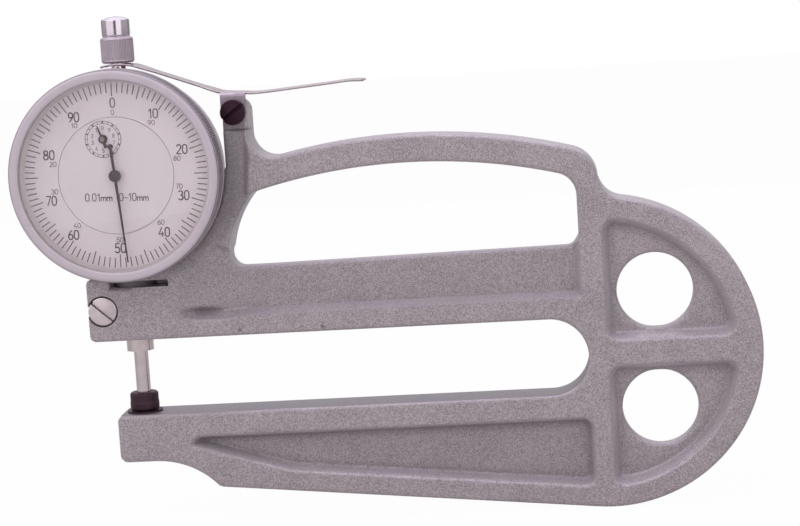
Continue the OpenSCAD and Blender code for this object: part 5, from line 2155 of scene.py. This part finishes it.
@dataclass
class SlottedScrew:
    """Round-edged screw head with a slot, on its shank."""

    name: str
    node: str
    finish: str
    slot: str
    centre: Point
    head_r: float
    front: float
    head_t: float
    slot_deg: float
    shank: tuple[Span, ...]
    slot_w: float = 0.95
    slot_d: float = 1.1
    slot_wall: float = 0.12
    dome: float = 0.15
    rim: float = 0.3
    step: float = 0.08
    overlap: float = 0.05

    def head(self) -> Shape:
        """Disc with a low dome, less the slot's depth along a turned line."""
        a = np.radians(self.slot_deg)
        across = np.array([-np.sin(a), np.cos(a)])
        centre, wall = np.array(self.centre), self.slot_wall

        def front(p: Array) -> Array:
            """Dome less the slot with its sloping walls.

            Args:
                p: n x 2 points in X and Z.

            Returns:
                n heights.
            """
            q = p - centre
            crown = self.dome * (1 - (q**2).sum(axis=1) / self.head_r**2)
            inside = smooth_step((self.slot_w / 2 + wall / 2 - np.abs(q @ across)) / wall)
            return self.head_t + crown - self.slot_d * inside

        edge: Field = lambda p: circle_distance(p, self.centre, self.head_r)
        place: Place = lambda p, t: upright(p, self.front + self.head_t - t)
        low, high = centre - self.head_r - self.rim, centre + self.head_r + self.rim
        return plate(edge, low, high, self.step, front, level(0.0), self.rim, place)

    def make(self, finishes: Finishes) -> None:
        """Builds and dresses the screw.

        Args:
            finishes: the finishes, by name.
        """
        parts = [self.head()]
        back, axis = self.front + self.head_t, (self.centre[0], 0.0, self.centre[1])
        for r, end in self.shank:
            parts.append(rod(r, -end, -back + self.overlap, 48, Turn.FRONT, axis))
            back = end
        piece = join(parts).piece(self.name, FINE_CREASE_DEG)
        finishes.settle(piece, self.finish, "stand", self.slot, self.node)


@dataclass
class Housing:
    """Case, stem, bushes, cover and anvil, which keep their solids and get their finishes."""

    def make(self, finishes: Finishes) -> None:
        """Dresses the nodes that stay as they are.

        Args:
            finishes: the finishes, by name.
        """
        dressed = {
            "satin_case": ["case", "back_cover"],
            "ground_steel": ["lower_bush", "upper_bush"],
            # The stem's dark paint is painted shade from the bezel
            "shaded_stem": ["stem"],
            "nickel_screw": ["back_cover_screws"],
            "black_steel": ["anvil"],
            "movement_brass": [
                "bridge_plate", "bridge_pillars", "transfer_gear", "take_up_gear",
                "hairspring_stud",
            ],
            "movement_steel": [
                "bezel_snap_ring", "bridge_screws", "rack_pinion", "centre_pinion", "take_up_arbor",
                "hairspring", "guide_collar", "guide_pin", "guide_rail", "return_spring",
                "spring_post",
            ],
        }
        for finish, nodes in dressed.items():
            for node in nodes:
                finishes.dress(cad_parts[node], finish)
                LOG.info("%s keeps its solid, in %s", node, finish)


# Studio


@dataclass
class Studio:
    """Camera at the photograph's angle, plain soft lamps, pale floor and white surroundings."""

    target: Triple = (71.4, 0.0, 36.08)
    distance: float = 600.0
    azimuth: float = 5.34
    elevation: float = 6.89
    roll: float = -3.68
    lens: float = 101.84
    sensor: float = 36.0
    clip: Span = (0.01, 20.0)
    ambient: float = 0.42
    floor_reach: float = 3000.0
    floor_gap: float = 0.05
    floor_glow: float = 0.97

    def camera(self) -> None:
        """Sets the camera on the line from the target, turned by its roll."""
        a, e, r = np.radians([self.azimuth, self.elevation, self.roll])
        back = np.array([np.sin(a) * np.cos(e), -np.cos(a) * np.cos(e), np.sin(e)])
        right = np.array([np.cos(a), np.sin(a), 0.0])
        up = np.cross(back, right)
        x = np.cos(r) * right + np.sin(r) * up
        y = -np.sin(r) * right + np.cos(r) * up
        place = (np.array(self.target) + back * self.distance) * MM
        data = bpy.data.cameras.new("camera")
        data.lens, data.sensor_width = self.lens, self.sensor
        data.clip_start, data.clip_end = self.clip
        obj = bpy.data.objects.new("camera", data)
        turned = Matrix(table(x, y, back).tolist()).to_4x4()
        obj.matrix_world = Matrix.Translation(Vector(place)) @ turned
        bpy.context.scene.collection.objects.link(obj)
        bpy.context.scene.camera = obj

    def lamp(
        self, name: str, place: Point, size: float, power: float, colour: Triple = (1.0, 1.0, 1.0)
    ) -> None:
        """Adds a square lamp that faces the target.

        Args:
            name: the lamp's name.
            place: its middle, in millimetres.
            size: its side, in millimetres.
            power: watts.
            colour: its tint.
        """
        data = bpy.data.lights.new(name, "AREA")
        data.energy, data.size, data.color = power, size * MM, colour
        obj = bpy.data.objects.new(name, data)
        way = Vector(self.target) - Vector(place)
        obj.rotation_euler = way.to_track_quat("-Z", "Y").to_euler()
        obj.location = Vector(place) * MM
        bpy.context.scene.collection.objects.link(obj)

    def surroundings(self) -> None:
        """World: soft light for surfaces, a room with a dark strip for gloss, white when seen."""
        world = bpy.data.worlds.new("white_room")
        bpy.context.scene.world = world
        world.use_nodes = True
        n = Nodes(world.node_tree)
        soft = world.node_tree.nodes["Background"]
        n.feed(soft, {"Color": (0.98, 0.95, 1.0, 1.0), "Strength": self.ambient})
        way = n.add("SeparateXYZ", {0: n.add("TexCoord").outputs["Generated"]}).outputs
        off = n.math("ABSOLUTE", n.math("SUBTRACT", way["X"], 0.09))
        dark = n.math("MULTIPLY", n.ramp(off, 0.2, 0.08), n.ramp(way["Y"], -0.2, -0.5))
        strip = n.math("MULTIPLY_ADD", dark, -0.8, 1.0)
        behind = n.math("MULTIPLY_ADD", n.ramp(way["Y"], 0.35, 0.9), -0.6, 1.0)
        over = n.ramp(way["Z"], 0.25, 0.75)
        side = n.math("MULTIPLY_ADD", n.ramp(way["Z"], -0.6, 0.2), 0.32, 0.46)
        shaded = n.math("MULTIPLY", side, n.math("MULTIPLY", strip, behind))
        gloss = n.add("Background", {
            "Color": n.blend(over, (1.0, 0.985, 1.0, 1.0), (0.90, 0.86, 1.0, 1.0)),
            "Strength": n.math("MULTIPLY_ADD", over, 1.3, shaded),
        })
        white = n.add("Background", {"Color": WHITE, "Strength": 1.0})
        room = n.mixed(n.add("LightPath").outputs["Is Glossy Ray"], soft, gloss)
        n.show(n.mixed(n.seen(), room, white), "World Output")

    def floor(self) -> None:
        """Pale floor under the lowest point: white to the camera, with a trace of shadow."""
        z, r = CAD_BOX[0].z / MM - self.floor_gap, self.floor_reach
        corners = np.array([[-r, -r, z], [r, -r, z], [r, r, z], [-r, r, z]])
        obj = Shape(corners, [np.array([[0, 1, 2, 3]])]).piece("floor")
        made, n, shader = start_material("pale_floor")
        n.feed(shader, {"Base Color": (0.9, 0.9, 0.9, 1.0), "Roughness": 0.9})
        glow = n.add("Emission", {"Color": WHITE, "Strength": 1.0})
        n.show(n.mixed(n.math("MULTIPLY", n.seen(), self.floor_glow), shader, glow))
        obj.data.materials.append(made)

    def make(self) -> None:
        """Sets the view, the lamps, the world and the floor."""
        bpy.context.scene.view_settings.view_transform = "Standard"
        self.camera()
        sky = (0.92, 0.88, 1.0)
        self.lamp("key", (-380.0, -540.0, 330.0), size=900.0, power=2.4)
        self.lamp("top", (60.0, -300.0, 720.0), size=800.0, power=1.5, colour=sky)
        self.lamp("fill", (480.0, -640.0, 200.0), size=620.0, power=1.5)
        self.lamp("rear", (60.0, 700.0, 360.0), size=800.0, power=1.0)
        self.surroundings()
        self.floor()


def main() -> None:
    """Builds the studio, the finishes and every sub-assembly."""
    logging.basicConfig(level=logging.INFO, format="%(name)s: %(message)s")
    Studio().make()
    finishes = Finishes()
    clamp = SlottedScrew(
        "clamp_screw_head", "clamp_screw", "nickel_screw", "nickel", CLAMP, head_r=3.85, front=-6.2,
        head_t=2.6, slot_deg=-42.0, shank=((2.0, 6.1),), slot_w=0.75,
    )
    pivot = SlottedScrew(
        "pivot_screw_head", "lever_pivot_screw", "black_screw", "dark_steel", PIVOT, head_r=3.3,
        front=-8.3, head_t=2.2, slot_deg=35.0, shank=((2.0, -5.0), (1.5, 3.0)), slot_w=0.8,
        dome=0.45,
    )
    casting, bezel, dial, hands = Casting(), Bezel(), DialFace(), Hands()
    for part in (Housing(), casting, bezel, dial, hands, Spindle(), Lever(), clamp, pivot):
        part.make(finishes)
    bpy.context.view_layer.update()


if __name__ == "__main__":
    main()
